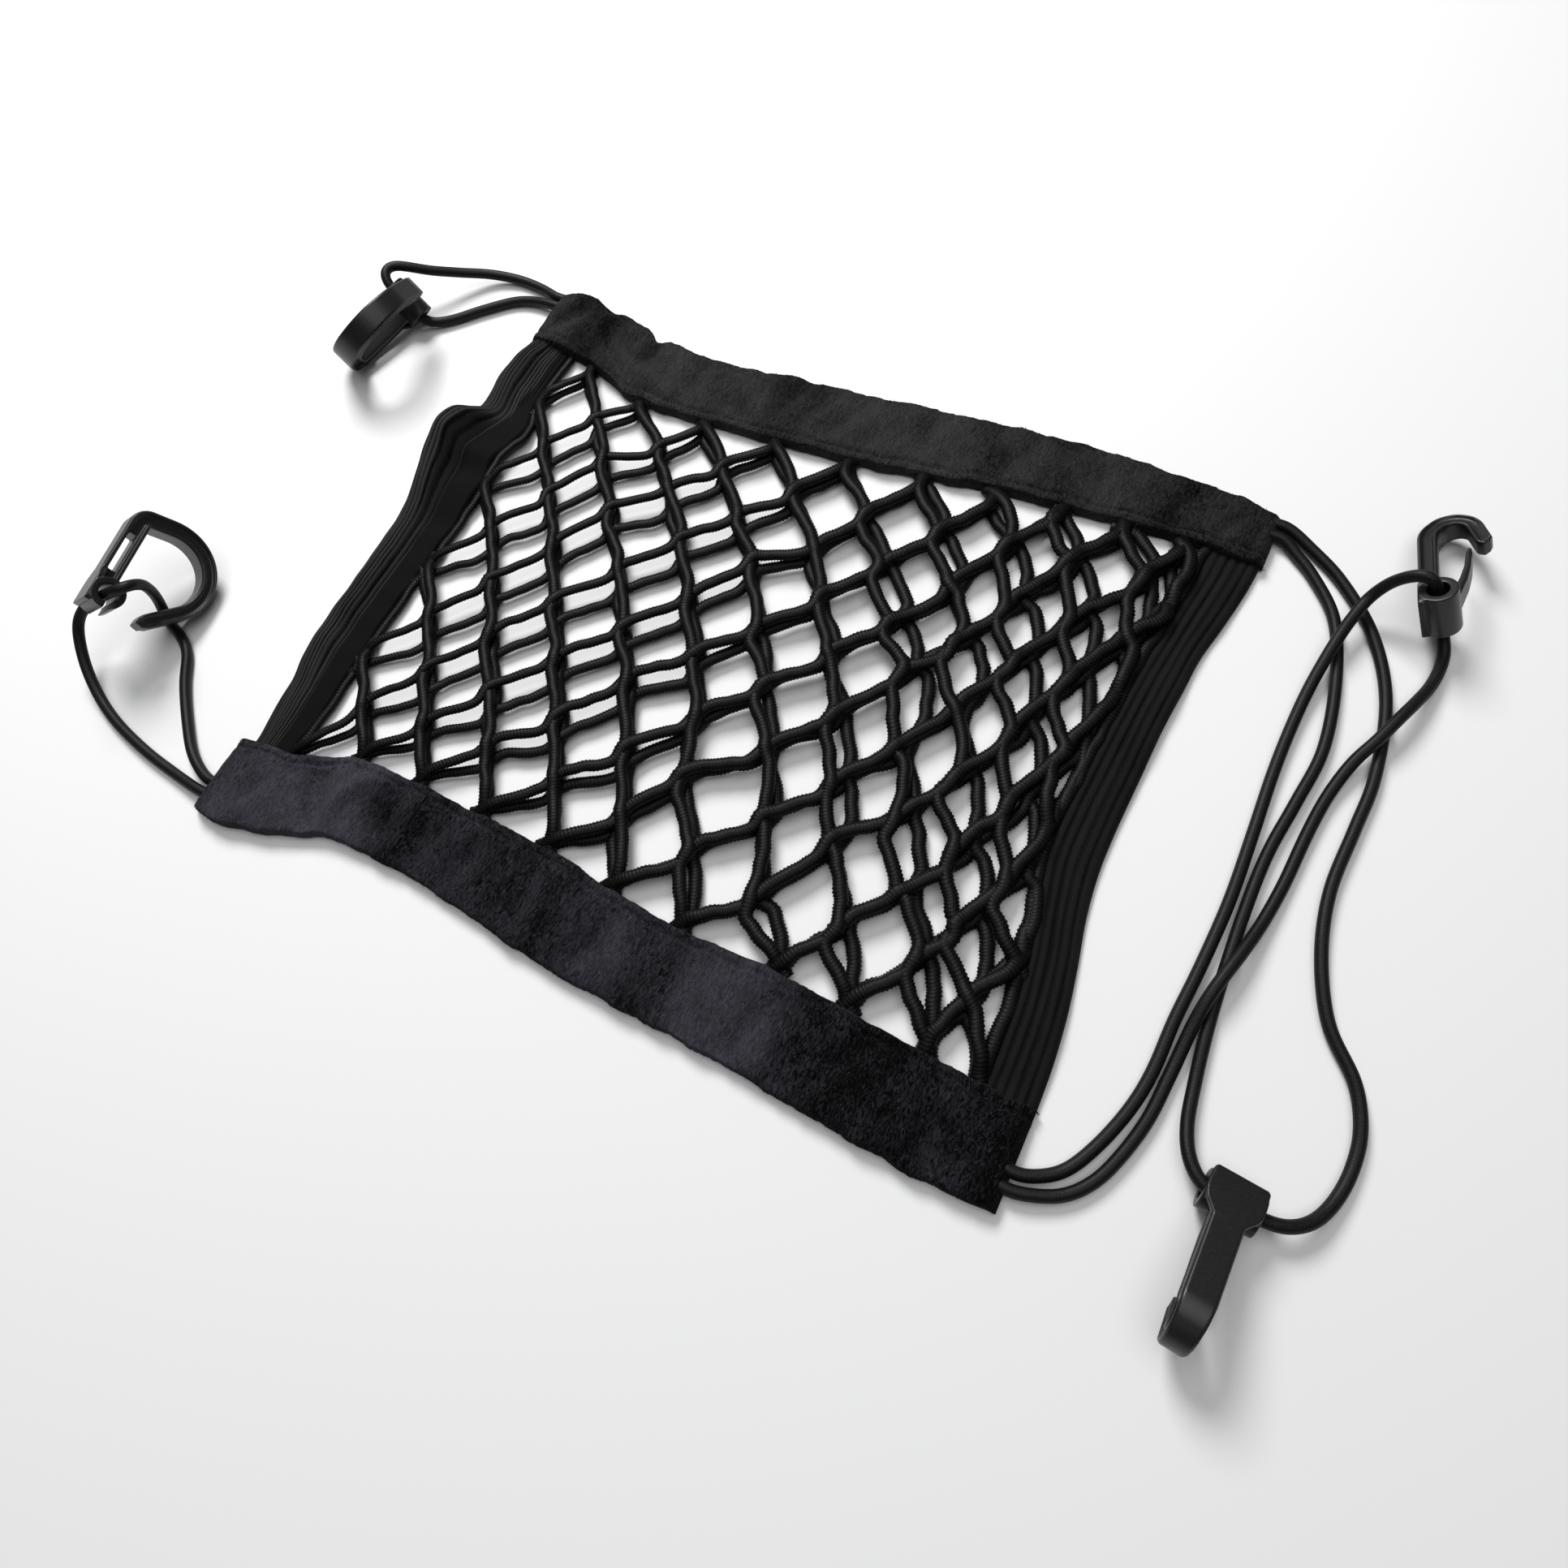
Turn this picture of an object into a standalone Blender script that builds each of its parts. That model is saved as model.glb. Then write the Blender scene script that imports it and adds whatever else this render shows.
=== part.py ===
# Elastic mesh organizer for a seat back: a two-layer cord net in a frame of four bands,
# with a cord loop and a plastic hook at each corner, lying on a flat surface.
# Tables are in millimetres, measured from the centre of the 300 x 250 mm rectangle
# between the corners. X runs along the bands, Y towards the top band, Z is up.
import math

import bmesh
import bpy
from mathutils import Euler, Vector

MM = 0.001
MIDDLE = (4.8, 1.5)  # moves the middle of what rests to the origin

CORD_WIDTH = 4.0
STRAND_WIDTH = 4.3
KNOT_WIDTH = 6.0
STRAND_HEIGHT = 3.0  # of a strand's section at a knot
LAYER_GAP = 0.4
BAND_STATIONS = 24

# Fleece bands. Columns: x, lower y, upper y, thickness.
TOP_BAND = [
    (-150, 100, 122, 7.0), (-144, 99.5, 126, 8.5), (-134, 99, 127, 8.5), (-124, 97.5, 123.5, 7.0),
    (-114, 95, 123, 7.5), (-104, 90.5, 120.5, 7.0), (-98, 88, 115.8, 5.8), (-92, 87.5, 118.3, 6.5),
    (-75, 87, 116, 6.0), (-30, 89.5, 120, 6.0), (0, 91, 121.5, 6.5), (33, 95.5, 125, 6.0),
    (60, 98.5, 127, 6.5), (85, 100.5, 128, 6.0), (130, 101.5, 125.5, 7.0), (150, 101, 122, 6.5),
]
BOTTOM_BAND = [
    (-151, -128, -100, 6.0), (-140, -130, -98, 7.0), (-125, -127, -96.5, 7.0), (-110, -122, -90, 6.5),
    (-97, -117.5, -88, 6.5), (-60, -118, -88.5, 6.0), (-20, -123, -90, 6.0), (0, -125, -93, 6.0),
    (30, -126, -95.5, 6.5), (60, -127, -94.5, 6.0), (120, -131, -98.5, 6.5), (148, -130, -99, 6.0),
]
# Webbing bands. Columns: y, outer x, inner x, lift off the surface, rise of the fold in it.
LEFT_BAND = [
    (97.8, -151, -131, 0, 2.6), (90, -153.5, -131, 0, 4.0), (80, -153.8, -131, 0, 4.2),
    (70, -152.8, -131, 0, 3.6), (62, -153.2, -130.4, 0.2, 3.6), (56.5, -155.8, -129.8, 1.0, 6.5),
    (50, -159.3, -129, 2.0, 10.5), (40, -160.4, -129.2, 2.4, 11.5), (28, -158.5, -128.8, 1.6, 9.5),
    (14, -155.5, -129, 0.4, 6.0), (0, -153.5, -129.5, 0, 4.2), (-20, -153, -130, 0, 3.8),
    (-40, -153, -130.5, 0, 3.6), (-58, -152.5, -130, 0, 3.0), (-72, -149.5, -129.5, 0, 1.6),
    (-85, -148, -129.5, 0, 0.8), (-96, -146.5, -131, 0, 0.4),
]
RIGHT_BAND = [
    (99.8, 149, 131, 0, 0.3), (90, 148, 130.5, 0, 0.4), (75, 145.5, 128.5, 0, 0.5),
    (60, 142.5, 127, 0, 0.6), (45, 141.3, 125, 0.8, 0.6), (30, 140, 124, 1.2, 0.5),
    (10, 139.3, 122.5, 0.4, 0.5), (-10, 138.6, 121.5, 0, 0.5), (-25, 138.8, 121.5, 0, 0.5),
    (-40, 140.5, 124.5, 0, 0.5), (-55, 143.5, 128, 0, 0.5), (-70, 146, 130, 0.6, 0.5),
    (-85, 147.5, 130.8, 0.6, 0.4), (-97.5, 148, 131, 0, 0.3),
]
WEBBING_THICKNESS = 3.2
WEBBING_RIBS = 5
RIB_DEPTH = 0.7
WEBBING_CORNER = 0.035  # share of its width that an edge is rounded over
FOLD_CREST = 0.26  # share of the width, from the outer edge, at which a fold reaches its crest
FOLD_DROP = (0.4, 0.17)  # where it falls away again, and over how much of the width
FOLD_LEFT = 0.08  # share of the rise that is left at the inner edge
# Across a fleece band: share of its width from the lower edge, share of its thickness.
FLEECE_SECTION = [
    (0.03, 0.0), (0.5, 0.0), (0.97, 0.0), (1.0, 0.35), (0.985, 0.75), (0.9, 0.96), (0.75, 0.88),
    (0.6, 0.98), (0.45, 0.86), (0.3, 0.97), (0.14, 0.9), (0.02, 0.72), (0.0, 0.3),
]

# The net has 11 columns and 10 rows of knots, set half a column apart from row to row.
LAST_COLUMN = 10
LAST_ROW = 9
# Where a column runs. Columns: column, x at the top row, x half way, x at the bottom row.
NET_COLUMNS = [
    (0, -131, -127, -129), (2, -75, -73, -80), (4, -15, -14, -26), (6, 42, 41, 28),
    (8, 91, 86, 86), (10, 133, 123, 131),
]
# Where a row runs. Columns: row, y at the left, quarter, middle, three-quarter and right.
NET_ROWS = [
    (0, 95, 87, 89, 101, 101), (3, 33, 35, 31, 32, 35), (6, -30, -27, -28, -35, -42),
    (9, -93, -86, -92, -94, -96),
]
# Knots that are pulled out of line. Columns: column, row, shift in x, shift in y.
PULLED_KNOTS = [
    (2, 3, -2, 2), (2, 1, 3, -2), (1.5, 2, -2, 3), (3.5, 6, -1, 3), (4, 3, -1, 4), (4.5, 2, 3, -1),
    (5, 7, -5, 1), (6.5, 4, 1, 6), (6.5, 8, -1, -5), (7, 7, -3, 4), (7.5, 2, -1, -3),
    (8.5, 8, 2, 3), (9, 1, 5, 2), (10, 1, 0, -6), (7, 9, 4, 0), (9, 9, 3, 0),
]
EDGE_CLEAR = 2.2  # from a band's edge to the middle of the net's edge strand
BACK_SLIP = (4.5, 7.0)  # how far the back layer slips sideways and down, at the ends
SLIP_CENTRE = 12
SLIP_REACH = 40

# Hook sizes. Lengths along the strap's middle line, from the barrel to the tip. A bend is
# (radius, degrees), or (None, length) where the strap runs straight. A slot is (start, length),
# and a tongue ends at (distance along the shank, distance out from the barrel's middle).
HOOKS = {
    "large": {
        "barrel_radius": 5.8, "barrel_length": 16, "bore": 3.3, "shank": 29.5, "shank_thick": 7.2,
        "bends": [(4, 78), (None, 7.5), (16.5, 145), (None, 12), (6, -30)],
        "tip_thick": 5.4, "base_width": 11.2, "tip_width": 8.0, "slot": (9.0, 16.0), "tongue": None,
        "split": True,
        "plate": [(-5.4, 6.9), (-4.6, 7.7), (3.2, 7.7), (5.2, 7.2), (8.6, 5.3)],
    },
    "small": {
        "barrel_radius": 5.8, "barrel_length": 16, "bore": 3.3, "shank": 31, "shank_thick": 6.0,
        "bends": [(8, 40), (None, 1.5), (6.5, 124), (None, 7), (4, -28)],
        "tip_thick": 5.0, "base_width": 9.2, "tip_width": 5.6, "slot": None, "tongue": (25, 9),
        "split": False,
        "plate": [(-5.4, 6.9), (-4.6, 7.7), (3.0, 7.7), (4.9, 7.0), (8.2, 4.3)],
    },
}
GROOVE_END = 0.15  # share of the strap over which its grooves run out at the tip
TIP_TAPER = (0.88, 0.4)  # where the strap starts to thin at its tip, and the share lost there
BORE_SPLIT = (0.6, 3.0)  # the slit through the barrel's wall, where the cord snaps in
BARREL_PLATE = 1.9  # thickness of the plate along the barrel's back
SLOT_ACROSS = (-1.7, 1.1)
# Columns: share of the tongue's length, thickness, width.
TONGUE_STATIONS = [(0, 3.0, 7.4), (0.35, 2.4, 6.8), (0.9, 1.8, 5.6), (1.0, 1.0, 4.4)]
# Round the tongue: shares of its thickness and of its width.
TONGUE_SECTION = [
    (0.5, 0.42), (0.5, -0.42), (0.2, -0.5), (-0.2, -0.5), (-0.5, -0.42), (-0.5, 0.42),
    (-0.2, 0.5), (0.2, 0.5),
]
# Where each hook lies. Columns: name, size, middle of its barrel x and y, turn in degrees.
HOOK_PLACES = [
    ("hook_top_left", "large", -207, 94, (50, 5, -105)),
    ("hook_bottom_left", "large", -216, -79, (-125, 0, 100)),
    ("hook_top_right", "small", 204, 98, (155, 15, 100)),
    ("hook_bottom_right", "small", 203, -100, (-90, -20, -95)),
]

# Cord routes: x, y and height of the cord's middle, from the band, through a hook, and back.
CORD_ROUTES = {
    "cord_top_left": [
        (-152.5, 124, 3.6), (-162, 127, 2.4), (-174, 128, 2.4), (-186, 125, 4.3), (-196, 118.3, 8.0),
        (-204.5, 111.2, 12.6), (-210.8, 106.8, 16.2), (-215.4, 103.6, 18.4), (-217.4, 100.4, 18.9),
        (-216.3, 96.9, 18.2), (-213, 94.8, 15.4), (-207, 93.6, 10.3), (-201.4, 92.6, 5.6),
        (-196.5, 94.0, 2.8), (-189.5, 99, 2.1), (-181, 107.3, 2.1), (-170, 116.5, 2.1),
        (-161, 119.5, 2.6), (-152.5, 119.5, 3.6),
    ],
    "cord_bottom_left": [
        (-153.5, -122.5, 3.2), (-166, -121, 2.2), (-182, -118.5, 2.1), (-200, -114, 2.1), (-214, -108, 3.2),
        (-224, -100, 8), (-229, -91, 15), (-227.5, -85, 20), (-222.2, -80.5, 23.5),
        (-216, -79.4, 27.9), (-209.3, -78.2, 32.4), (-205, -76.6, 34.6), (-202.6, -73.2, 34),
        (-204, -69.6, 29), (-208.5, -67.6, 21), (-213, -66.8, 12), (-214.5, -68, 5),
        (-211, -71, 2.2), (-203, -74, 2.1), (-195, -79, 2.1), (-187, -90, 2.1), (-176, -102, 2.1),
        (-165, -112, 2.3), (-153.5, -117.5, 3.2),
    ],
    "cord_top_right": [
        (152.8, 114.5, 3.4), (158, 111, 2.4), (166, 104.5, 2.1), (177, 90.5, 2.1), (184, 68, 2.1),
        (187.3, 43, 2.1), (185, 22, 2.1), (182.3, 2, 2.1), (181.8, -20, 2.1), (182.5, -45, 2.1),
        (183.5, -60, 2.1), (185, -74, 2.3), (186.5, -85, 3.6), (189.5, -93.5, 5.6),
        (195, -99.1, 7), (203, -100, 7.04), (211, -100.8, 7.0), (218, -99.6, 6.2),
        (224, -95, 4.6), (228, -87, 2.8), (229.8, -77, 2.1), (229, -66, 2.1), (224, -54, 2.1),
        (213, -41, 2.1), (205.5, -22, 2.1), (202.3, -2, 2.1), (203.3, 20, 2.1), (204, 40, 2.1),
        (200, 67, 2.1), (190, 89, 2.1), (175, 106, 2.1), (162, 115, 2.4), (152.8, 119.5, 3.4),
    ],
    "cord_bottom_right": [
        (151, -117.5, 3.2), (160, -112, 2.3), (166, -102, 2.1), (171, -88, 2.1), (173.3, -75, 2.1),
        (174, -58, 2.1), (175.6, -40, 2.1), (176.8, -17, 2.1), (176.4, 7, 2.1), (175.8, 28, 2.1),
        (176, 45, 2.3), (176.8, 60, 3.2), (178.2, 72, 5.2), (179.8, 82, 6.8), (181.6, 90, 7.6),
        (183.8, 97, 9.5), (187, 100.2, 15), (190.5, 100.8, 20), (194.3, 100.7, 23.5),
        (197.6, 100.3, 24.2), (200.1, 99.4, 21.3), (203.8, 98.3, 14.4), (207.4, 97.1, 7.6),
        (209.3, 95.4, 4.6), (211.4, 91.5, 2.8), (212, 86, 2.3), (210.8, 77, 3.4), (207.6, 67.5, 5.6),
        (204.2, 59, 6.5), (200.6, 50, 5.8), (196.4, 41, 3.8), (193, 28, 2.2), (191, 13, 2.1),
        (189.6, -5, 2.1), (187.4, -20, 3.2), (184.6, -32, 5.6), (182.2, -40.5, 6.6), (180.2, -49, 5.8),
        (179, -58, 3.6), (178.4, -68, 2.3), (177.8, -76, 2.1), (176.6, -88, 2.1), (173.5, -100, 2.1),
        (169, -110.5, 2.1), (162, -118, 2.4), (151, -122.5, 3.2),
    ],
}
CORD_STEP = 11.0  # longest stretch between two points of a cord
CORD_TURN = 19.0  # sharpest turn between two points of a cord, in degrees
SMOOTH_ANGLE = 40.0


def blend(rows, at, column):
    """Value of a column at a place, smooth between the rows of a table."""
    rows = sorted(rows)
    if at <= rows[0][0]:
        return rows[0][column]
    if at >= rows[-1][0]:
        return rows[-1][column]
    low = max(i for i, row in enumerate(rows) if row[0] <= at)
    low = min(low, len(rows) - 2)

    def slope(i):
        before = rows[max(i - 1, 0)]
        after = rows[min(i + 1, len(rows) - 1)]
        return (after[column] - before[column]) / (after[0] - before[0])

    start, end = rows[low], rows[low + 1]
    span = end[0] - start[0]
    t = (at - start[0]) / span
    return (
        (2 * t**3 - 3 * t**2 + 1) * start[column]
        + (t**3 - 2 * t**2 + t) * span * slope(low)
        + (3 * t**2 - 2 * t**3) * end[column]
        + (t**3 - t**2) * span * slope(low + 1)
    )


def to_metres(x, y, z):
    return Vector(((x + MIDDLE[0]) * MM, (y + MIDDLE[1]) * MM, z * MM))


def new_material(name, colour, roughness, sheen=0.0):
    material = bpy.data.materials.new(name)
    material.use_nodes = True
    shader = material.node_tree.nodes["Principled BSDF"]
    shader.inputs["Base Color"].default_value = (*colour, 1.0)
    shader.inputs["Roughness"].default_value = roughness
    shader.inputs["Metallic"].default_value = 0.0
    shader.inputs["Sheen Weight"].default_value = sheen
    material.diffuse_color = (*colour, 1.0)
    return material


def new_object(name, mesh, collection, material):
    piece = bpy.data.objects.new(name, mesh)
    mesh.materials.append(material)
    collection.objects.link(piece)
    return piece


def shade_smooth(mesh):
    mesh.shade_smooth()
    mesh.set_sharp_from_angle(angle=math.radians(SMOOTH_ANGLE))


def loft(name, rings):
    """One closed mesh through rings of equal count, with flat caps."""
    shape = bmesh.new()
    loops = [[shape.verts.new(point) for point in ring] for ring in rings]
    count = len(loops[0])
    for near, far in zip(loops, loops[1:]):
        for i in range(count):
            j = (i + 1) % count
            shape.faces.new((near[i], near[j], far[j], far[i]))
    shape.faces.new(list(reversed(loops[0])))
    shape.faces.new(loops[-1])
    bmesh.ops.recalc_face_normals(shape, faces=shape.faces)
    mesh = bpy.data.meshes.new(name)
    shape.to_mesh(mesh)
    shape.free()
    shade_smooth(mesh)
    return mesh


# ---- bands ----


def band_places(first, last):
    """Stations along a band, with close ones at its ends for the rounded edge."""
    sign = 1 if last > first else -1
    inner = [
        first + (last - first) * i / BAND_STATIONS for i in range(1, BAND_STATIONS)
    ]
    return [first, first + 1.2 * sign, *inner, last - 1.2 * sign, last]


def end_share(place, first, last):
    """How much of its thickness a band has this near an end."""
    return 0.8 if min(abs(place - first), abs(place - last)) < 0.1 else 1.0


def fleece_mesh(name, table, phase):
    first, last = table[0][0], table[-1][0]
    rings = []
    for x in band_places(first, last):
        low, high = blend(table, x, 1), blend(table, x, 2)
        thick = blend(table, x, 3) * end_share(x, first, last)
        ring = []
        for across, height in FLEECE_SECTION:
            swell = 0.06 * math.sin(x / 13 + 5 * across + phase) if height > 0.5 else 0.0
            sway = 0.4 * math.sin(x / 9 + phase) if height > 0.2 else 0.0
            ring.append(to_metres(x, low + (high - low) * across + sway, thick * height * (1 + swell)))
        rings.append(ring)
    return loft(name, rings)


def eased(t):
    t = min(1.0, max(0.0, t))
    return t * t * (3 - 2 * t)


def fold_rise(fold, share):
    """How much the fold lifts the webbing at a share of its width from the outer edge."""
    fallen = eased((share - FOLD_DROP[0]) / FOLD_DROP[1])
    return fold * eased(share / FOLD_CREST) * (1 - (1 - FOLD_LEFT) * fallen)


def webbing_mesh(name, table):
    rings = []
    table = sorted(table)
    first, last = table[0][0], table[-1][0]
    for y in band_places(first, last):
        outer, inner, lift, fold = (blend(table, y, column) for column in (1, 2, 3, 4))
        lift = max(lift, 0.0)
        thick = WEBBING_THICKNESS * end_share(y, first, last)
        width = inner - outer
        corner = WEBBING_CORNER * width
        edge_height = lift + 0.3 * thick
        ring = [
            to_metres(outer, y, edge_height),
            to_metres(outer + corner, y, lift),
            *(to_metres(outer + width * at, y, lift + 0.9 * fold_rise(fold, at)) for at in (0.15, 0.3, 0.45, 0.66)),
            to_metres(inner - corner, y, lift),
            to_metres(inner, y, edge_height),
        ]
        steps = 2 * WEBBING_RIBS
        for i in range(steps + 1):
            share = WEBBING_CORNER + (1 - 2 * WEBBING_CORNER) * (1 - i / steps)
            groove = RIB_DEPTH if i % 2 else 0.0
            bow = 0.25 * lift * math.sin(math.pi * share)
            top = lift + thick - groove + bow + fold_rise(fold, share)
            ring.append(to_metres(outer + width * share, y, top))
        rings.append(ring)
    return loft(name, rings)


# ---- net ----


def row_height(row, column):
    places = [0, 2.5, 5, 7.5, 10]
    rows = [(place, blend(NET_ROWS, row, i + 1)) for i, place in enumerate(places)]
    return blend(rows, column, 1)


def column_place(row, column):
    rows = []
    for at, top, middle, bottom in NET_COLUMNS:
        t = row / LAST_ROW
        x = top * (1 - t) * (1 - 2 * t) + middle * 4 * t * (1 - t) + bottom * t * (2 * t - 1)
        rows.append((at, x))
    return blend(rows, column, 1)


def knot_place(column, row, back):
    """Where a knot lies, in millimetres."""
    x = column_place(row, column)
    y = row_height(row, column)
    for at_column, at_row, shift_x, shift_y in PULLED_KNOTS:
        if (column, row) == (at_column, at_row):
            x += shift_x
            y += shift_y
    if back:
        slip = math.tanh((x - SLIP_CENTRE) / SLIP_REACH)
        fade = min(1.0, row / 2, (LAST_ROW - row) / 2)
        x += BACK_SLIP[0] * abs(slip) * fade
        y += BACK_SLIP[1] * slip * fade
    if column == 0:
        x = blend(LEFT_BAND, y, 2) + EDGE_CLEAR
    if column == LAST_COLUMN:
        x = blend(RIGHT_BAND, y, 2) - EDGE_CLEAR
    if row == 0:
        y = blend(TOP_BAND, x, 1) - EDGE_CLEAR
    if row == LAST_ROW:
        y = blend(BOTTOM_BAND, x, 2) + EDGE_CLEAR
    return x, y


def lie(x, y):
    """How high the net lifts off the surface here."""
    inside = max(0.0, 1 - (x / 128) ** 2) * max(0.0, 1 - (y / 90) ** 2)
    return inside * (1.0 + 0.8 * math.sin(x / 26 + 0.6) * math.sin(y / 31 + 1.1))


def is_edge(column, row):
    return column in (0, LAST_COLUMN) or row in (0, LAST_ROW)


def net_mesh(name, back):
    """A layer of knotted strands, as a flat cell mesh turned into a wireframe."""
    shape = bmesh.new()
    weights = shape.verts.layers.deform.verify()
    verts = {}

    def vertex(key, place, weight):
        if key not in verts:
            x, y = place
            verts[key] = shape.verts.new(to_metres(x, y, layer_middle(back) + lie(x, y)))
            verts[key][weights][0] = weight
        return verts[key]

    def knot(column, row):
        weight = 0.5 if is_edge(column, row) else 1.0
        return vertex((column, row), knot_place(column, row, back), weight)

    def middle(one, other):
        """The middle of a strand, bowed a little to one side."""
        key = tuple(sorted((one, other)))
        a, b = knot_place(*one, back), knot_place(*other, back)
        on_edge = is_edge(*one) and is_edge(*other)
        bow = 0.0 if on_edge else 0.9 * math.sin(7.3 * key[0][0] + 4.1 * key[0][1] + 2.2 * key[1][0])
        length = math.dist(a, b)
        x = (a[0] + b[0]) / 2 - bow * (b[1] - a[1]) / length
        y = (a[1] + b[1]) / 2 + bow * (b[0] - a[0]) / length
        if on_edge and one[0] == other[0]:
            x = edge_x(one[0], y)
        if on_edge and one[1] == other[1]:
            y = edge_y(one[1], x)
        weight = 0.4 if on_edge else STRAND_WIDTH / KNOT_WIDTH
        return vertex(key, (x, y), weight)

    for corners in net_cells():
        ring = []
        for one, other in zip(corners, corners[1:] + corners[:1]):
            ring.append(knot(*one))
            ring.append(middle(one, other))
        shape.faces.new(ring)
    bmesh.ops.recalc_face_normals(shape, faces=shape.faces)
    if sum(face.normal.z for face in shape.faces) < 0:
        bmesh.ops.reverse_faces(shape, faces=shape.faces)
    mesh = bpy.data.meshes.new(name)
    shape.to_mesh(mesh)
    shape.free()
    return mesh


def edge_x(column, y):
    if column == 0:
        return blend(LEFT_BAND, y, 2) + EDGE_CLEAR
    return blend(RIGHT_BAND, y, 2) - EDGE_CLEAR


def edge_y(row, x):
    if row == 0:
        return blend(TOP_BAND, x, 1) - EDGE_CLEAR
    return blend(BOTTOM_BAND, x, 2) + EDGE_CLEAR


def net_cells():
    """The corner knots of each opening, in turn."""
    cells = []
    for row in range(LAST_ROW + 1):
        start = 0.0 if row % 2 == 0 else 0.5
        for i in range(LAST_COLUMN + 1):
            column = start + i
            around = [(column - 0.5, row), (column, row - 1), (column + 0.5, row), (column, row + 1)]
            known = [key for key in around if 0 <= key[0] <= LAST_COLUMN and 0 <= key[1] <= LAST_ROW]
            if len(known) > 2:
                cells.append(known)
    return cells


def layer_middle(back):
    """Height of a layer's middle where the net lies flat."""
    return STRAND_HEIGHT / 2 + 0.1 + (0 if back else STRAND_HEIGHT + LAYER_GAP)


def net_layer(name, back, collection, material):
    layer = new_object(name, net_mesh(name, back), collection, material)
    layer.vertex_groups.new(name="strand_width")
    wire = layer.modifiers.new("strands", "WIREFRAME")
    wire.thickness = KNOT_WIDTH * MM
    wire.vertex_group = "strand_width"
    wire.use_even_offset = True
    wire.use_boundary = True
    wire.use_replace = True
    bpy.context.view_layer.update()
    evaluated = layer.evaluated_get(bpy.context.evaluated_depsgraph_get())
    strands = bpy.data.meshes.new_from_object(evaluated)
    layer.modifiers.clear()
    layer.data = strands
    shade_smooth(strands)
    for vert in strands.vertices:
        x, y = vert.co.x / MM - MIDDLE[0], vert.co.y / MM - MIDDLE[1]
        middle = layer_middle(back) + lie(x, y)
        vert.co.z = (middle + (vert.co.z / MM - middle) * STRAND_HEIGHT / KNOT_WIDTH) * MM


# ---- hooks ----


def strap_line(size):
    """Points of the strap's middle line with its direction, from the barrel to the tip."""
    at = Vector((0.0, -(size["barrel_radius"] - size["shank_thick"] / 2)))
    angle = 0.0
    line = [(at.copy(), angle)]

    def go(length, turn, steps):
        nonlocal at, angle
        for _ in range(steps):
            angle += math.radians(turn) / steps / 2
            at = at + Vector((math.cos(angle), math.sin(angle))) * (length / steps)
            angle += math.radians(turn) / steps / 2
            line.append((at.copy(), angle))

    go(size["shank"], 0, 2)
    for radius, amount in size["bends"]:
        if radius is None:
            go(amount, 0, 1)
        else:
            steps = max(2, round(abs(amount) / 18))
            go(radius * math.radians(abs(amount)), amount, steps)
    return line


def strap_section(thick, width, share):
    """Half of an I section, mirrored: rims at the faces and a groove that ends before the tip."""
    half, side = thick / 2, width / 2
    rim = 0.62 * half
    sunk = side - min(1.3, 0.25 * side) * min(1.0, (1 - share) / GROOVE_END)
    quarter = [(half, side - 0.7), (half - 0.5, side), (rim, side), (rim - 0.5, sunk)]
    top = quarter + [(-n, a) for n, a in reversed(quarter)]
    return top + [(-n, -a) for n, a in top]


def strap_mesh(name, size):
    line = strap_line(size)
    rings = []
    last = len(line) - 1
    for i, (at, angle) in enumerate(line):
        share = i / last
        thick = size["shank_thick"] + (size["tip_thick"] - size["shank_thick"]) * min(1.0, share * 1.6)
        thick *= 1 - TIP_TAPER[1] * eased((share - TIP_TAPER[0]) / (1 - TIP_TAPER[0]))
        width = size["base_width"] + (size["tip_width"] - size["base_width"]) * share
        across = Vector((-math.sin(angle), math.cos(angle)))
        ring = []
        for n, a in strap_section(thick, width, share):
            place = at + across * n
            ring.append(Vector((place.x, place.y, a)) * MM)
        rings.append(ring)
    return loft(name, rings)


def cylinder(name, radius, length, sides, collection):
    bpy.ops.mesh.primitive_cylinder_add(vertices=sides, radius=radius * MM, depth=length * MM)
    piece = bpy.context.object
    piece.name = name
    for other in list(piece.users_collection):
        other.objects.unlink(piece)
    collection.objects.link(piece)
    return piece


def box(name, low, high, collection):
    shape = bmesh.new()
    bmesh.ops.create_cube(shape, size=1.0)
    for vert in shape.verts:
        for axis in range(3):
            vert.co[axis] = (low[axis] if vert.co[axis] < 0 else high[axis]) * MM
    mesh = bpy.data.meshes.new(name)
    shape.to_mesh(mesh)
    shape.free()
    piece = bpy.data.objects.new(name, mesh)
    collection.objects.link(piece)
    return piece


def combine(piece, other, operation):
    """A Boolean with a helper that is then taken away."""
    step = piece.modifiers.new(other.name, "BOOLEAN")
    step.operation = operation
    step.object = other
    step.solver = "EXACT"
    bpy.context.view_layer.update()
    evaluated = piece.evaluated_get(bpy.context.evaluated_depsgraph_get())
    mesh = bpy.data.meshes.new_from_object(evaluated)
    piece.modifiers.clear()
    piece.data = mesh
    bpy.data.objects.remove(other)


def tongue_mesh(name, size):
    """The thin tongue that closes the mouth, from the barrel to near the tip."""
    reach, out = size["tongue"]
    rings = []
    start = Vector((1.5, size["barrel_radius"] - 1.6))
    end = Vector((reach, out))
    across = Vector((-(end - start).y, (end - start).x)).normalized()
    for share, thick, width in TONGUE_STATIONS:
        at = start.lerp(end, share) + across * 1.2 * math.sin(math.pi * share)
        ring = []
        for n, a in TONGUE_SECTION:
            place = at + across * n * thick
            ring.append(Vector((place.x, place.y, a * width)) * MM)
        rings.append(ring)
    return loft(name, rings)


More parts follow.
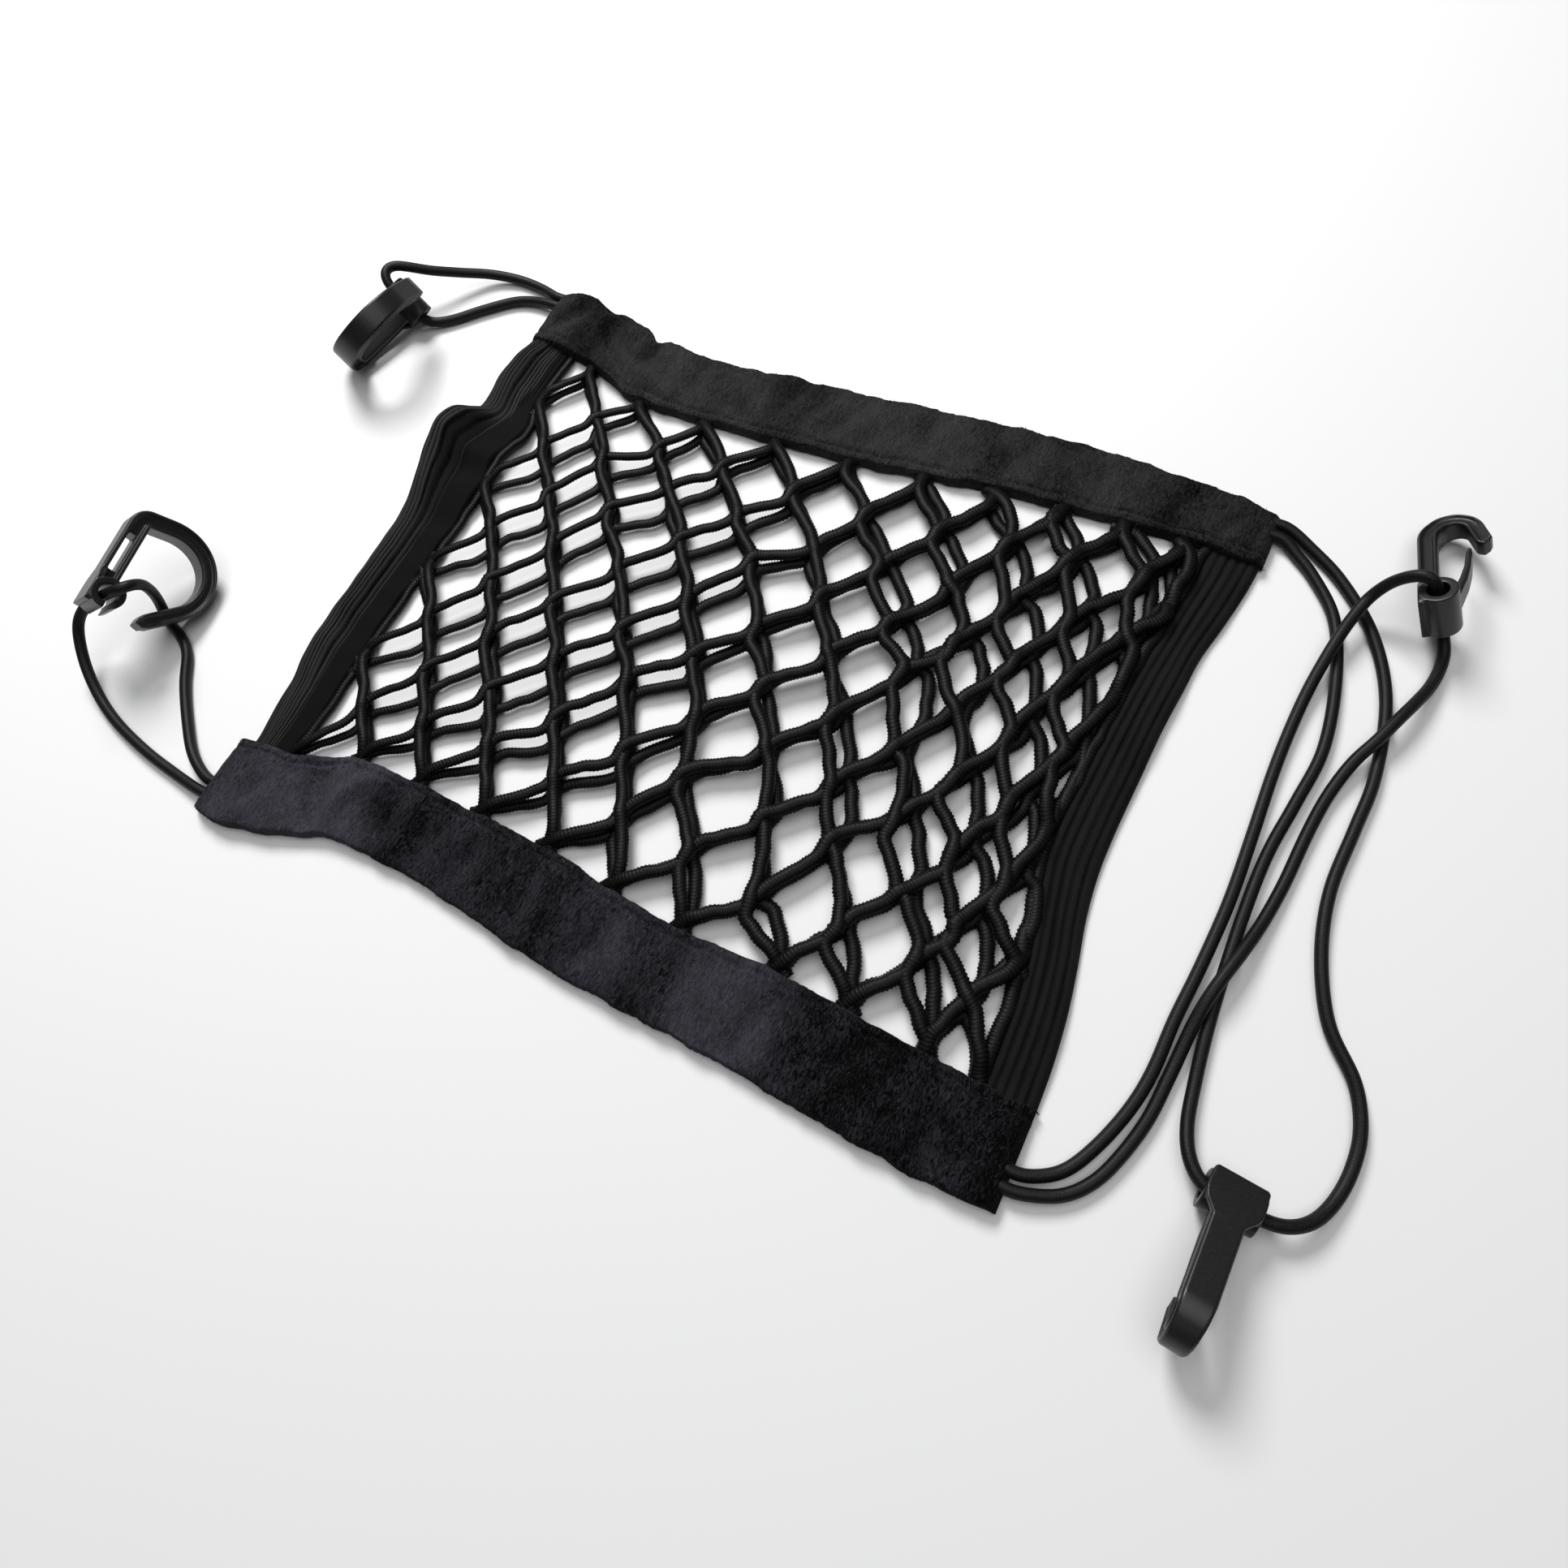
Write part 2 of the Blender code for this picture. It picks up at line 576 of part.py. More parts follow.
def hook_mesh(kind, collection, cutters):
    size = HOOKS[kind]
    radius, length = size["barrel_radius"], size["barrel_length"]
    mesh = strap_mesh("strap_" + kind, size)
    body = bpy.data.objects.new("strap_" + kind, mesh)
    collection.objects.link(body)
    combine(body, cylinder("barrel", radius, length, 24, cutters), "UNION")
    outline = size["plate"] + [(x, -z) for x, z in reversed(size["plate"])]
    faces = [
        [Vector((x, y, z)) * MM for x, z in outline] for y in (-radius - 0.05, BARREL_PLATE - radius)
    ]
    plate = bpy.data.objects.new("plate", loft("plate", faces))
    cutters.objects.link(plate)
    combine(body, plate, "UNION")
    if size["tongue"]:
        tongue = bpy.data.objects.new("tongue", tongue_mesh("tongue", size))
        cutters.objects.link(tongue)
        combine(body, tongue, "UNION")
    if size["slot"]:
        start, run = size["slot"]
        middle = size["shank_thick"] / 2 - radius
        low = (start, middle + SLOT_ACROSS[0], -length)
        high = (start + run, middle + SLOT_ACROSS[1], length)
        combine(body, box("slot", low, high, cutters), "DIFFERENCE")
    combine(body, cylinder("bore", size["bore"], 2 * length, 16, cutters), "DIFFERENCE")
    if size["split"]:
        low = (-radius - 1, BORE_SPLIT[0], -length)
        high = (1.3 - size["bore"], BORE_SPLIT[1], length)
        combine(body, box("split", low, high, cutters), "DIFFERENCE")
    mesh = body.data
    mesh.materials.clear()
    shade_smooth(mesh)
    bpy.data.objects.remove(body)
    return mesh


def add_hooks(collection, cutters, material):
    meshes = {kind: hook_mesh(kind, collection, cutters) for kind in HOOKS}
    for name, kind, x, y, turn in HOOK_PLACES:
        hook = new_object(name, meshes[kind].copy(), collection, material.copy())
        hook.rotation_euler = Euler([math.radians(angle) for angle in turn], "XYZ")
        turned = hook.rotation_euler.to_matrix()
        lowest = min((turned @ vert.co).z for vert in hook.data.vertices)
        hook.location = to_metres(x, y, 0.02)
        hook.location.z -= lowest


# ---- cords ----


def curve_point(points, i, t):
    """A place between two route points, on a smooth curve through all of them."""
    before, start = points[max(i - 1, 0)], points[i]
    end, after = points[i + 1], points[min(i + 2, len(points) - 1)]
    lead, trail = (end - before) / 2, (after - start) / 2
    return (
        start * (2 * t**3 - 3 * t**2 + 1)
        + lead * (t**3 - 2 * t**2 + t)
        + end * (3 * t**2 - 2 * t**3)
        + trail * (t**3 - t**2)
    )


def cord_points(route):
    points = [Vector(point) for point in route]
    found = [points[0]]
    for i in range(len(points) - 1):
        span = (points[i + 1] - points[i]).length
        first = curve_point(points, i, 0.1) - points[i]
        final = points[i + 1] - curve_point(points, i, 0.9)
        turn = math.degrees(first.angle(final))
        steps = max(1, math.ceil(max(span / CORD_STEP, turn / CORD_TURN)))
        found += [curve_point(points, i, step / steps) for step in range(1, steps + 1)]
    return found


def cord(name, route, collection, material):
    curve = bpy.data.curves.new(name, "CURVE")
    curve.dimensions = "3D"
    curve.bevel_depth = CORD_WIDTH / 2 * MM
    curve.bevel_resolution = 2
    curve.use_fill_caps = True
    line = curve.splines.new("POLY")
    points = cord_points(route)
    line.points.add(len(points) - 1)
    for point, place in zip(line.points, points):
        point.co = (*to_metres(*place), 1.0)
    curve.materials.append(material)
    piece = bpy.data.objects.new(name, curve)
    collection.objects.link(piece)
    return piece


def main():
    for old in list(bpy.data.objects):
        bpy.data.objects.remove(old)
    parts = bpy.data.collections.new("seat_back_mesh_organizer")
    cutters = bpy.data.collections.new("cutters")
    bpy.context.scene.collection.children.link(parts)
    bpy.context.scene.collection.children.link(cutters)

    fleece = new_material("charcoal_fleece", (0.016, 0.016, 0.018), 0.95, 0.4)
    webbing = new_material("black_webbing", (0.012, 0.012, 0.013), 0.8)
    strand = new_material("black_elastic_strand", (0.014, 0.014, 0.015), 0.75)
    round_cord = new_material("black_elastic_cord", (0.010, 0.010, 0.011), 0.6)
    plastic = new_material("satin_black_plastic", (0.012, 0.012, 0.012), 0.45)

    new_object("top_band", fleece_mesh("top_band", TOP_BAND, 0.4), parts, fleece)
    new_object("bottom_band", fleece_mesh("bottom_band", BOTTOM_BAND, 2.1), parts, fleece.copy())
    new_object("left_band", webbing_mesh("left_band", LEFT_BAND), parts, webbing)
    new_object("right_band", webbing_mesh("right_band", RIGHT_BAND), parts, webbing.copy())
    net_layer("net_back", True, parts, strand)
    net_layer("net_front", False, parts, strand.copy())
    add_hooks(parts, cutters, plastic)
    for name, route in CORD_ROUTES.items():
        cord(name, route, parts, round_cord.copy())


main()
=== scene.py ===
import math
import random

import bmesh
import bpy
from mathutils import Euler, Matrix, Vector, noise


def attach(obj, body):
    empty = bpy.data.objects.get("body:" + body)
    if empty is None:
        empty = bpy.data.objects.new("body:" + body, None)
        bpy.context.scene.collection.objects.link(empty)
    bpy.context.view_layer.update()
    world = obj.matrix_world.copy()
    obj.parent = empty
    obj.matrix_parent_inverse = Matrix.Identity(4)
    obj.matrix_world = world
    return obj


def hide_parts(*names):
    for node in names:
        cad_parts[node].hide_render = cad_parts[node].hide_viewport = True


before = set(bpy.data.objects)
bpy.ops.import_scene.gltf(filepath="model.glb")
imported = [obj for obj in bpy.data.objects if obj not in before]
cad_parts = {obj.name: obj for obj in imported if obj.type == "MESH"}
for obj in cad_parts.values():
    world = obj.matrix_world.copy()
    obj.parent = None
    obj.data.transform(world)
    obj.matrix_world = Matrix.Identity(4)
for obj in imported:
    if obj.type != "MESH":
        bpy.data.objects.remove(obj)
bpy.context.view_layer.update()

mm = 0.001
middleShift = (4.8, 1.5)  # from the middle of the 300 x 250 mm rectangle to the origin, in mm
offTable = 0.05  # mm that the undersides of the bands keep off the table
waveTurn = math.pi * 2 / 20  # the scale at which a wave texture repeats once a unit

# Shapes are in millimetres, measured from the middle of the rectangle between the frame's
# corners: X along the fleece bands, Y towards the top band, Z up from the table. The camera and
# the lights are in metres, from the origin.


def place(x, y, z):
    return Vector(((x + middleShift[0]) * mm, (y + middleShift[1]) * mm, z * mm))


# On the smooth curve from start to end that sets out and arrives at the given slopes
def cubic(start, end, leaving, arriving, t):
    return (
        start * (2 * t**3 - 3 * t**2 + 1)
        + leaving * (t**3 - 2 * t**2 + t)
        + end * (3 * t**2 - 2 * t**3)
        + arriving * (t**3 - t**2)
    )


# Smooth value of a column of a table at a place between its rows
def between(rows, at, column):
    if at <= rows[0][0]:
        return rows[0][column]
    if at >= rows[-1][0]:
        return rows[-1][column]
    low = max(i for i, row in enumerate(rows) if row[0] <= at)
    low = min(low, len(rows) - 2)

    def slope(i):
        before, after = rows[max(i - 1, 0)], rows[min(i + 1, len(rows) - 1)]
        return (after[column] - before[column]) / (after[0] - before[0])

    start, end = rows[low], rows[low + 1]
    span = end[0] - start[0]
    slopes = span * slope(low), span * slope(low + 1)
    return cubic(start[column], end[column], *slopes, (at - start[0]) / span)


# Places at equal steps along the first column of a table
def stations(rows, step):
    first, last = rows[0][0], rows[-1][0]
    count = round((last - first) / step)
    return [first + (last - first) * i / count for i in range(count + 1)]


# Smooth noise from -1 to 1, the same on each run
def ripple(*at):
    return noise.noise(Vector(at))


# A number of a pair, blended from the first to the second
def blend(pair, share):
    return pair[0] * (1 - share) + pair[1] * share


# From 0 to 1 with a slow start and a slow end
def eased(t):
    t = min(1.0, max(0.0, t))
    return t * t * (3 - 2 * t)


# A scattered number from -1 to 1, the same on each run
def scatter(*at):
    value = math.sin(sum(a * b for a, b in zip(at, (12.9898, 78.233, 37.719)))) * 43758.5453
    return 2 * (value - math.floor(value)) - 1


# A place between two points, on the smooth curve through all of them
def onCurve(points, i, t):
    before, start = points[max(i - 1, 0)], points[i]
    end, after = points[i + 1], points[min(i + 2, len(points) - 1)]
    return cubic(start, end, (end - before) / 2, (after - start) / 2, t)


# The smooth curve through the points, cut into equal steps of its own length
def evenly(points, step, finer=12):
    fine = [onCurve(points, i, k / finer) for i in range(len(points) - 1) for k in range(finer)]
    fine.append(points[-1])
    lengths = [0.0]
    for near, far in zip(fine, fine[1:]):
        lengths.append(lengths[-1] + (far - near).length)
    count = max(2, round(lengths[-1] / step))
    found, j = [], 0
    for i in range(count + 1):
        goal = lengths[-1] * i / count
        while j < len(fine) - 2 and lengths[j + 1] < goal:
            j += 1
        run = lengths[j + 1] - lengths[j]
        share = (goal - lengths[j]) / run if run else 0.0
        found.append(fine[j].lerp(fine[j + 1], min(1.0, share)))
    return found


# Direction, sideways and up at each point. Lying keeps up near the table's up
def framesAlong(points, lying):
    found, side = [], None
    last = len(points) - 1
    for i in range(last + 1):
        ahead = (points[min(i + 1, last)] - points[max(i - 1, 0)]).normalized()
        if side is None or lying:
            side = ahead.cross(Vector((0, 0, 1)))
        side = (side - ahead * side.dot(ahead)).normalized()
        found.append((ahead, side, side.cross(ahead)))
    return found


# Adds a closed tube to a store of vertices, faces and UVs. A ring is its middle, frame, width,
# height and lean
def addTube(store, rings, sides, ringStep=None):
    verts, faces, uvs = store
    base, run = len(verts), 0.0
    along = []
    for i, (middle, (ahead, side, up), width, height, lean) in enumerate(rings):
        if i:
            run += (middle - rings[i - 1][0]).length
        along.append(i * ringStep if ringStep else run)
        for k in range(sides):
            turn = 2 * math.pi * k / sides
            spot = middle + side * math.cos(turn) * width / 2 + up * math.sin(turn) * height / 2
            verts.append((spot + ahead * lean * math.cos(turn)) * mm)
    for i in range(len(rings) - 1):
        for k in range(sides):
            nextK = (k + 1) % sides
            a, b = base + i * sides + k, base + i * sides + nextK
            faces.append((a, b, b + sides, a + sides))
            uvs += [(along[i], k / sides), (along[i], (k + 1) / sides),
                    (along[i + 1], (k + 1) / sides), (along[i + 1], k / sides)]
    for start, order in ((base, 1), (base + (len(rings) - 1) * sides, -1)):
        faces.append(tuple(start + k for k in range(sides))[::-order])
        uvs += [(0.0, 0.0)] * sides


def newObject(name, data):
    item = bpy.data.objects.new(name, data)
    bpy.context.scene.collection.objects.link(item)
    return item


# A mesh piece from a store. Its UV runs along and round, in millimetres and turns
def newPiece(name, store, material):
    verts, faces, uvs = store
    mesh = bpy.data.meshes.new(name)
    mesh.from_pydata(verts, [], faces)
    layer = mesh.uv_layers.new(name="alongAndRound")
    layer.data.foreach_set("uv", [value for uv in uvs for value in uv])
    mesh.materials.append(material)
    mesh.shade_smooth()
    return newObject(name, mesh)


# A store for a closed form through rings of equal count, each point a place in metres
def lofted(rows):
    count, last = len(rows[0]), len(rows) - 1
    verts = [point for row in rows for point in row]
    faces, uvs = [], []
    for i in range(last):
        for k in range(count):
            a, b = i * count + k, i * count + (k + 1) % count
            faces.append((a, a + count, b + count, b))
            u, nextU, v = i / last, (i + 1) / last, k / count
            uvs += [(u, v), (nextU, v), (nextU, v + 1 / count), (u, v + 1 / count)]
    faces.append(tuple(range(count)))
    faces.append(tuple(range(len(verts) - 1, len(verts) - 1 - count, -1)))
    uvs += [(0.0, 0.0)] * (2 * count)
    return verts, faces, uvs


# An sRGB hex value as the linear colour that a shader takes
def colour(hexValue):
    found = []
    for i in (1, 3, 5):
        value = int(hexValue[i:i + 2], 16) / 255
        found.append(value / 12.92 if value <= 0.04045 else ((value + 0.055) / 1.055) ** 2.4)
    return (*found, 1.0)


# Adds a node. Settings are (name or input, value), links are (input, other node, its output)
def addNode(tree, kind, settings=(), links=()):
    node = tree.nodes.new(kind)
    for name, value in settings:
        if hasattr(node, str(name)) and not isinstance(name, int):
            setattr(node, name, value)
        else:
            node.inputs[name].default_value = value
    for goal, source, output in links:
        tree.links.new(source.outputs[output], node.inputs[goal])
    return node


# A named material with its Principled shader
def newMaterial(name, roughness, settings=()):
    material = bpy.data.materials.new(name)
    material.use_nodes = True
    tree = material.node_tree
    shader = tree.nodes["Principled BSDF"]
    shader.inputs["Roughness"].default_value = roughness
    for key, value in settings:
        shader.inputs[key].default_value = value
    return material, tree, shader


# Colours a surface from the first tone to the second by one pattern, and raises it by another.
# A pattern is a node and its output
def finishSurface(tree, shader, look, tones, pattern, relief, sunk=False):
    ramp = addNode(tree, "ShaderNodeValToRGB", links=[(0, *pattern)])
    for element, position, tone in zip(ramp.color_ramp.elements, look["toneSpan"], tones):
        element.position = position
        element.color = colour(tone)
    strength, depth = look["bump"]
    bump = addNode(tree, "ShaderNodeBump", [
        ("Strength", strength), ("Distance", depth * mm), ("invert", sunk),
    ], [("Height", *relief)])
    tree.links.new(ramp.outputs[0], shader.inputs["Base Color"])
    tree.links.new(bump.outputs[0], shader.inputs["Normal"])


fleeceLook = {
    "dark": "#010101",
    "lights": ("#363736", "#403e46"),  # the top band is neutral, the bottom one a little blue
    "toneSpan": (0.53, 1.0),  # of the pattern, from black to palest
    "bump": (1.0, 0.6),  # its strength, and the mm that the nap stands up
    "napWidth": 1.3,  # mm across a streak of nap, coarser than the fibres so that it shows
    "napLength": 3.8,  # mm along the brushing
    "brushing": -16,  # degrees from straight across the band
    "sheenPatch": 24,  # mm across an area of painted sheen where the nap lies over to one side
    "tuftShare": 0.9,
    # Shares of the painted sheen in the tone: from the pile's lean, and from its larger areas
    "sheenShare": 0.4,
    "sheenPatchShare": 0.35,
}


def makeFleece(name, light):
    # Brushed polyester fleece: dull curly streaks, with painted sheen from how the pile leans:
    # paler where the pile leans towards the light and black where it leans away
    material, tree, shader = newMaterial(name, 0.95, [
        ("Sheen Weight", 0.03), ("Sheen Roughness", 0.5), ("Specular IOR Level", 0.06),
    ])
    spot = addNode(tree, "ShaderNodeTexCoord")
    width, length = fleeceLook["napWidth"] * mm, fleeceLook["napLength"] * mm
    streak = addNode(tree, "ShaderNodeMapping", [
        ("Scale", (1 / width, 1 / length, 1 / width)),
        ("Rotation", (0, 0, math.radians(fleeceLook["brushing"]))),
    ], [("Vector", spot, "Object")])
    tufts = addNode(tree, "ShaderNodeTexNoise", [
        ("Scale", 1.0), ("Detail", 3.0), ("Roughness", 0.6), ("Distortion", 2.2),
    ], [("Vector", streak, "Vector")])
    sheenPatchNoise = addNode(tree, "ShaderNodeTexNoise", [
        ("Scale", 1 / (fleeceLook["sheenPatch"] * mm)), ("Detail", 3.0), ("Distortion", 0.8),
    ], [("Vector", spot, "Object")])
    # Painted sheen stored on the vertices: paler where the pile leans towards the light
    lean = addNode(tree, "ShaderNodeAttribute", [("attribute_name", "pileLeanSheen")])
    paintedSheen = addNode(tree, "ShaderNodeMath", [
        ("operation", "MULTIPLY_ADD"), (1, fleeceLook["sheenPatchShare"]),
    ], [(0, sheenPatchNoise, "Fac"), (2, lean, "Fac")])
    fibres = addNode(tree, "ShaderNodeMath", [
        ("operation", "MULTIPLY"), (1, fleeceLook["tuftShare"]),
    ], [(0, tufts, "Fac")])
    mixed = addNode(tree, "ShaderNodeMath", [
        ("operation", "MULTIPLY_ADD"), (1, fleeceLook["sheenShare"]),
    ], [(0, paintedSheen, 0), (2, fibres, 0)])
    tones = (fleeceLook["dark"], light)
    finishSurface(tree, shader, fleeceLook, tones, (mixed, 0), (tufts, "Fac"))
    return material


webbingLook = {
    "dark": "#020202",
    "lights": ("#2c2c2d", "#131313"),  # left and right
    "toneSpan": (0.6, 1.0),
    "bump": (0.8, 0.3),
    "shadowTone": 0.35,  # how much of the pattern shows on the smooth inner part under painted shadow
    "shadowChange": (159.0, 179.0),  # mm from the lower end, over which the smooth inner part under painted shadow narrows
    "yarnLength": 45,  # mm before a yarn changes its tone
    "yarnsPerRib": 0.7,
    "weftPitch": 1.0,  # mm from weft to weft
}


def makeWebbing(name, light, shadowedRibs):
    # Woven elastic webbing: dull paler ribs with painted shade, near black, in the grooves between
    # them, fine weft across, and painted shadow darkening the smooth inner part behind the fold
    material, tree, shader = newMaterial(name, 0.85, [
        ("Specular IOR Level", 0.12), ("Sheen Weight", 0.03),
    ])
    spot = addNode(tree, "ShaderNodeUVMap", [("uv_map", "alongAndRound")])
    ribs = addNode(tree, "ShaderNodeMapping", [("Scale", (0.0, waveTurn, 1.0))],
                   [("Vector", spot, "UV")])
    # Painted shade: near black in the grooves between the ribs, paler on the crests
    ribShade = addNode(tree, "ShaderNodeTexWave", [
        ("wave_type", "BANDS"), ("bands_direction", "Y"), ("wave_profile", "SIN"), ("Scale", 1.0),
    ], [("Vector", ribs, "Vector")])
    warp = addNode(tree, "ShaderNodeMapping", [
        ("Scale", (1 / webbingLook["yarnLength"], webbingLook["yarnsPerRib"], 1.0)),
    ], [("Vector", spot, "UV")])
    yarns = addNode(tree, "ShaderNodeTexNoise", [
        ("Scale", 1.0), ("Detail", 2.0), ("Roughness", 0.7),
    ], [("Vector", warp, "Vector")])
    weft = addNode(tree, "ShaderNodeMapping", [
        ("Scale", (1 / webbingLook["weftPitch"], 2.0, 1.0)),
    ], [("Vector", spot, "UV")])
    knit = addNode(tree, "ShaderNodeTexNoise", [("Scale", 1.0), ("Detail", 1.0)],
                   [("Vector", weft, "Vector")])
    cloth = addNode(tree, "ShaderNodeMath", [("operation", "MULTIPLY_ADD"), (1, 0.3)],
                    [(0, knit, "Fac"), (2, yarns, "Fac")])
    mixed = addNode(tree, "ShaderNodeMath", [("operation", "MULTIPLY_ADD"), (1, 0.45)],
                    [(0, ribShade, "Fac"), (2, cloth, 0)])
    axes = addNode(tree, "ShaderNodeSeparateXYZ", [], [("Vector", spot, "UV")])
    # Painted shadow over the smooth inner part, behind the fold
    shadowedTo = addNode(tree, "ShaderNodeMapRange", [
        ("From Min", webbingLook["shadowChange"][0]), ("From Max", webbingLook["shadowChange"][1]),
        ("To Min", shadowedRibs[0]), ("To Max", shadowedRibs[1]),
    ], [("Value", axes, "X")])
    beyond = addNode(tree, "ShaderNodeMath", [("operation", "SUBTRACT")],
                     [(0, axes, "Y"), (1, shadowedTo, 0)])
    outOfShadow = addNode(tree, "ShaderNodeMapRange", [
        ("From Min", 0.0), ("From Max", 1.5), ("To Min", webbingLook["shadowTone"]), ("To Max", 1.0),
    ], [("Value", beyond, 0)])
    kept = addNode(tree, "ShaderNodeMath", [("operation", "MULTIPLY")],
                   [(0, mixed, 0), (1, outOfShadow, 0)])
    tones = (webbingLook["dark"], light)
    finishSurface(tree, shader, webbingLook, tones, (kept, 0), (cloth, 0))
    return material


strandLook = {
    "tones": ("#010101", "#0e0e0e"),
    "toneSpan": (0.45, 1.0),
    "bump": (0.5, 0.25),
    "ridgePitch": 1.15,  # mm from one turn of the yarn to the next
    "yarns": (0.9, 9.0),  # yarns to each mm along, and round the strand
}


def makeStrand():
    # Covered elastic strand: yarn wound tightly across, with a painted highlight on each turn
    # and painted shade, near black, in the gaps
    material, tree, shader = newMaterial("woundElasticStrand", 0.5, [("Specular IOR Level", 0.14)])
    spot = addNode(tree, "ShaderNodeUVMap", [("uv_map", "alongAndRound")])
    turns = addNode(tree, "ShaderNodeMapping", [
        ("Scale", (waveTurn / strandLook["ridgePitch"], 0.0, 1.0)),
    ], [("Vector", spot, "UV")])
    # Painted highlight on each turn of the yarn and painted shade in the gaps
    wound = addNode(tree, "ShaderNodeTexWave", [
        ("wave_type", "BANDS"), ("bands_direction", "X"), ("wave_profile", "SIN"), ("Scale", 1.0),
    ], [("Vector", turns, "Vector")])
    fibre = addNode(tree, "ShaderNodeMapping", [("Scale", (*strandLook["yarns"], 1.0))],
                    [("Vector", spot, "UV")])
    threads = addNode(tree, "ShaderNodeTexNoise", [("Scale", 1.0), ("Detail", 3.0)],
                      [("Vector", fibre, "Vector")])
    mixed = addNode(tree, "ShaderNodeMath", [("operation", "MULTIPLY_ADD"), (1, 0.5)],
                    [(0, wound, "Fac"), (2, threads, "Fac")])
    finishSurface(tree, shader, strandLook, strandLook["tones"], (mixed, 0), (mixed, 0))
    return material


cordLook = {
    "tones": ("#141415", "#020202"),  # from the middle of a braided yarn to its edge
    "toneSpan": (0.2, 0.8),
    "bump": (0.4, 0.15),
    "braidPitch": 1.6,  # mm along the cord from yarn to yarn
    "yarnsRound": 8.0,
}


def makeCord():
    # Braided elastic cord: a smooth tight cover with a fine crossing weave
    material, tree, shader = newMaterial("braidedElasticCord", 0.5, [("Specular IOR Level", 0.2)])
    spot = addNode(tree, "ShaderNodeUVMap", [("uv_map", "alongAndRound")])
    fibre = addNode(tree, "ShaderNodeMapping", [
        ("Scale", (1 / cordLook["braidPitch"], cordLook["yarnsRound"], 1.0)),
    ], [("Vector", spot, "UV")])
    braid = addNode(tree, "ShaderNodeTexVoronoi", [("Scale", 1.6), ("Randomness", 0.35)],
                    [("Vector", fibre, "Vector")])
    braided = (braid, "Distance")
    finishSurface(tree, shader, cordLook, cordLook["tones"], braided, braided, sunk=True)
    return material


plasticLook = {
    "tones": ("#101011", "#1c1c1d"),
    "toneSpan": (0.3, 0.7),
    "bump": (0.15, 0.1),
    "grain": 0.6,  # mm across the mould's grain
}


def makePlastic():
    # Moulded nylon with a satin face and a faint grain from the mould
    material, tree, shader = newMaterial("mouldedNylon", 0.36, [
        ("Specular IOR Level", 0.4), ("IOR", 1.53),
    ])
    spot = addNode(tree, "ShaderNodeTexCoord")
    grain = addNode(tree, "ShaderNodeTexNoise", [
        ("Scale", 1 / (plasticLook["grain"] * mm)), ("Detail", 2.0),
    ], [("Vector", spot, "Object")])
    grained = (grain, "Fac")
    finishSurface(tree, shader, plasticLook, plasticLook["tones"], grained, grained)
    return material


fleeceMaterials = [
    makeFleece("brushedFleeceTop", fleeceLook["lights"][0]),
    makeFleece("brushedFleeceBottom", fleeceLook["lights"][1]),
]
# The last pair is how many ribs from the inner edge are smooth and darkened by painted shadow:
# along most of the band, and near its top end
webbingMaterials = {
    "left": makeWebbing("wovenElasticLeft", webbingLook["lights"][0], (4.6, 1.5)),
    "right": makeWebbing("wovenElasticRight", webbingLook["lights"][1], (-2.0, -2.0)),
}
strandMaterial = makeStrand()
cordMaterial = makeCord()
plasticMaterial = makePlastic()
print("materials made")


cameraSettings = {
    "place": (0.1448, -0.1565, 0.346),
    "turn": (24.15, 6.53, 26.61),  # degrees
    "lens": 26.35,
}

lens = bpy.data.cameras.new("camera")
lens.lens = cameraSettings["lens"]
lens.sensor_width = 36
camera = newObject("camera", lens)
camera.location = cameraSettings["place"]
camera.rotation_euler = [math.radians(angle) for angle in cameraSettings["turn"]]
bpy.context.scene.camera = camera


def addLight(name, location, size, power):
    lamp = bpy.data.lights.new(name, "AREA")
    lamp.shape = "DISK"
    lamp.size = size
    lamp.energy = power
    light = newObject(name, lamp)
    light.location = location
    light.rotation_euler = (-Vector(location)).to_track_quat("-Z", "Y").to_euler()


addLight("softbox", (-0.62, 0.66, 1.0), 0.6, 18)
addLight("ceilingGlow", (0.15, -0.05, 1.5), 1.6, 11)

world = bpy.data.worlds.new("studio")
world.use_nodes = True
background = world.node_tree.nodes["Background"]
background.inputs["Color"].default_value = (0.96, 0.98, 1.0, 1.0)
background.inputs["Strength"].default_value = 0.1
bpy.context.scene.world = world
bpy.context.scene.view_settings.view_transform = "Standard"

bpy.ops.object.select_all(action="DESELECT")
bpy.ops.mesh.primitive_plane_add(size=6.0, location=(0, 0, -0.0002))
table = bpy.context.object
table.name = "table"
paper = newMaterial("mattWhiteTable", 0.7, [("Base Color", (0.82, 0.82, 0.825, 1.0))])
table.data.materials.append(paper[0])
print("camera, light and table set")


# Columns: x, lower y, upper y, thickness
topBand = [
    (-150, 100, 122, 7.0), (-144, 99.5, 126, 8.5), (-134, 99, 127, 8.5), (-124, 97.5, 123.5, 7.0),
    (-114, 95, 123, 7.5), (-104, 90.5, 120.5, 7.0), (-98, 88, 115.8, 5.8), (-92, 87.5, 118.3, 6.5),
    (-75, 87, 116, 6.0), (-30, 89.5, 120, 6.0), (0, 91, 121.5, 6.5), (33, 95.5, 125, 6.0),
    (60, 98.5, 127, 6.5), (85, 100.5, 128, 6.0), (130, 101.5, 125.5, 7.0), (150, 101, 122, 6.5),
]
bottomBand = [
    (-151, -128, -100, 6.0), (-140, -130, -98, 7.0), (-125, -127, -96.5, 7.0),
    (-110, -122, -90, 6.5), (-97, -117.5, -88, 6.5), (-60, -118, -88.5, 6.0),
    (-20, -123, -90, 6.0), (0, -125, -93, 6.0), (30, -126, -95.5, 6.5), (60, -127, -94.5, 6.0),
    (120, -131, -98.5, 6.5), (148, -130, -99, 6.0),
]
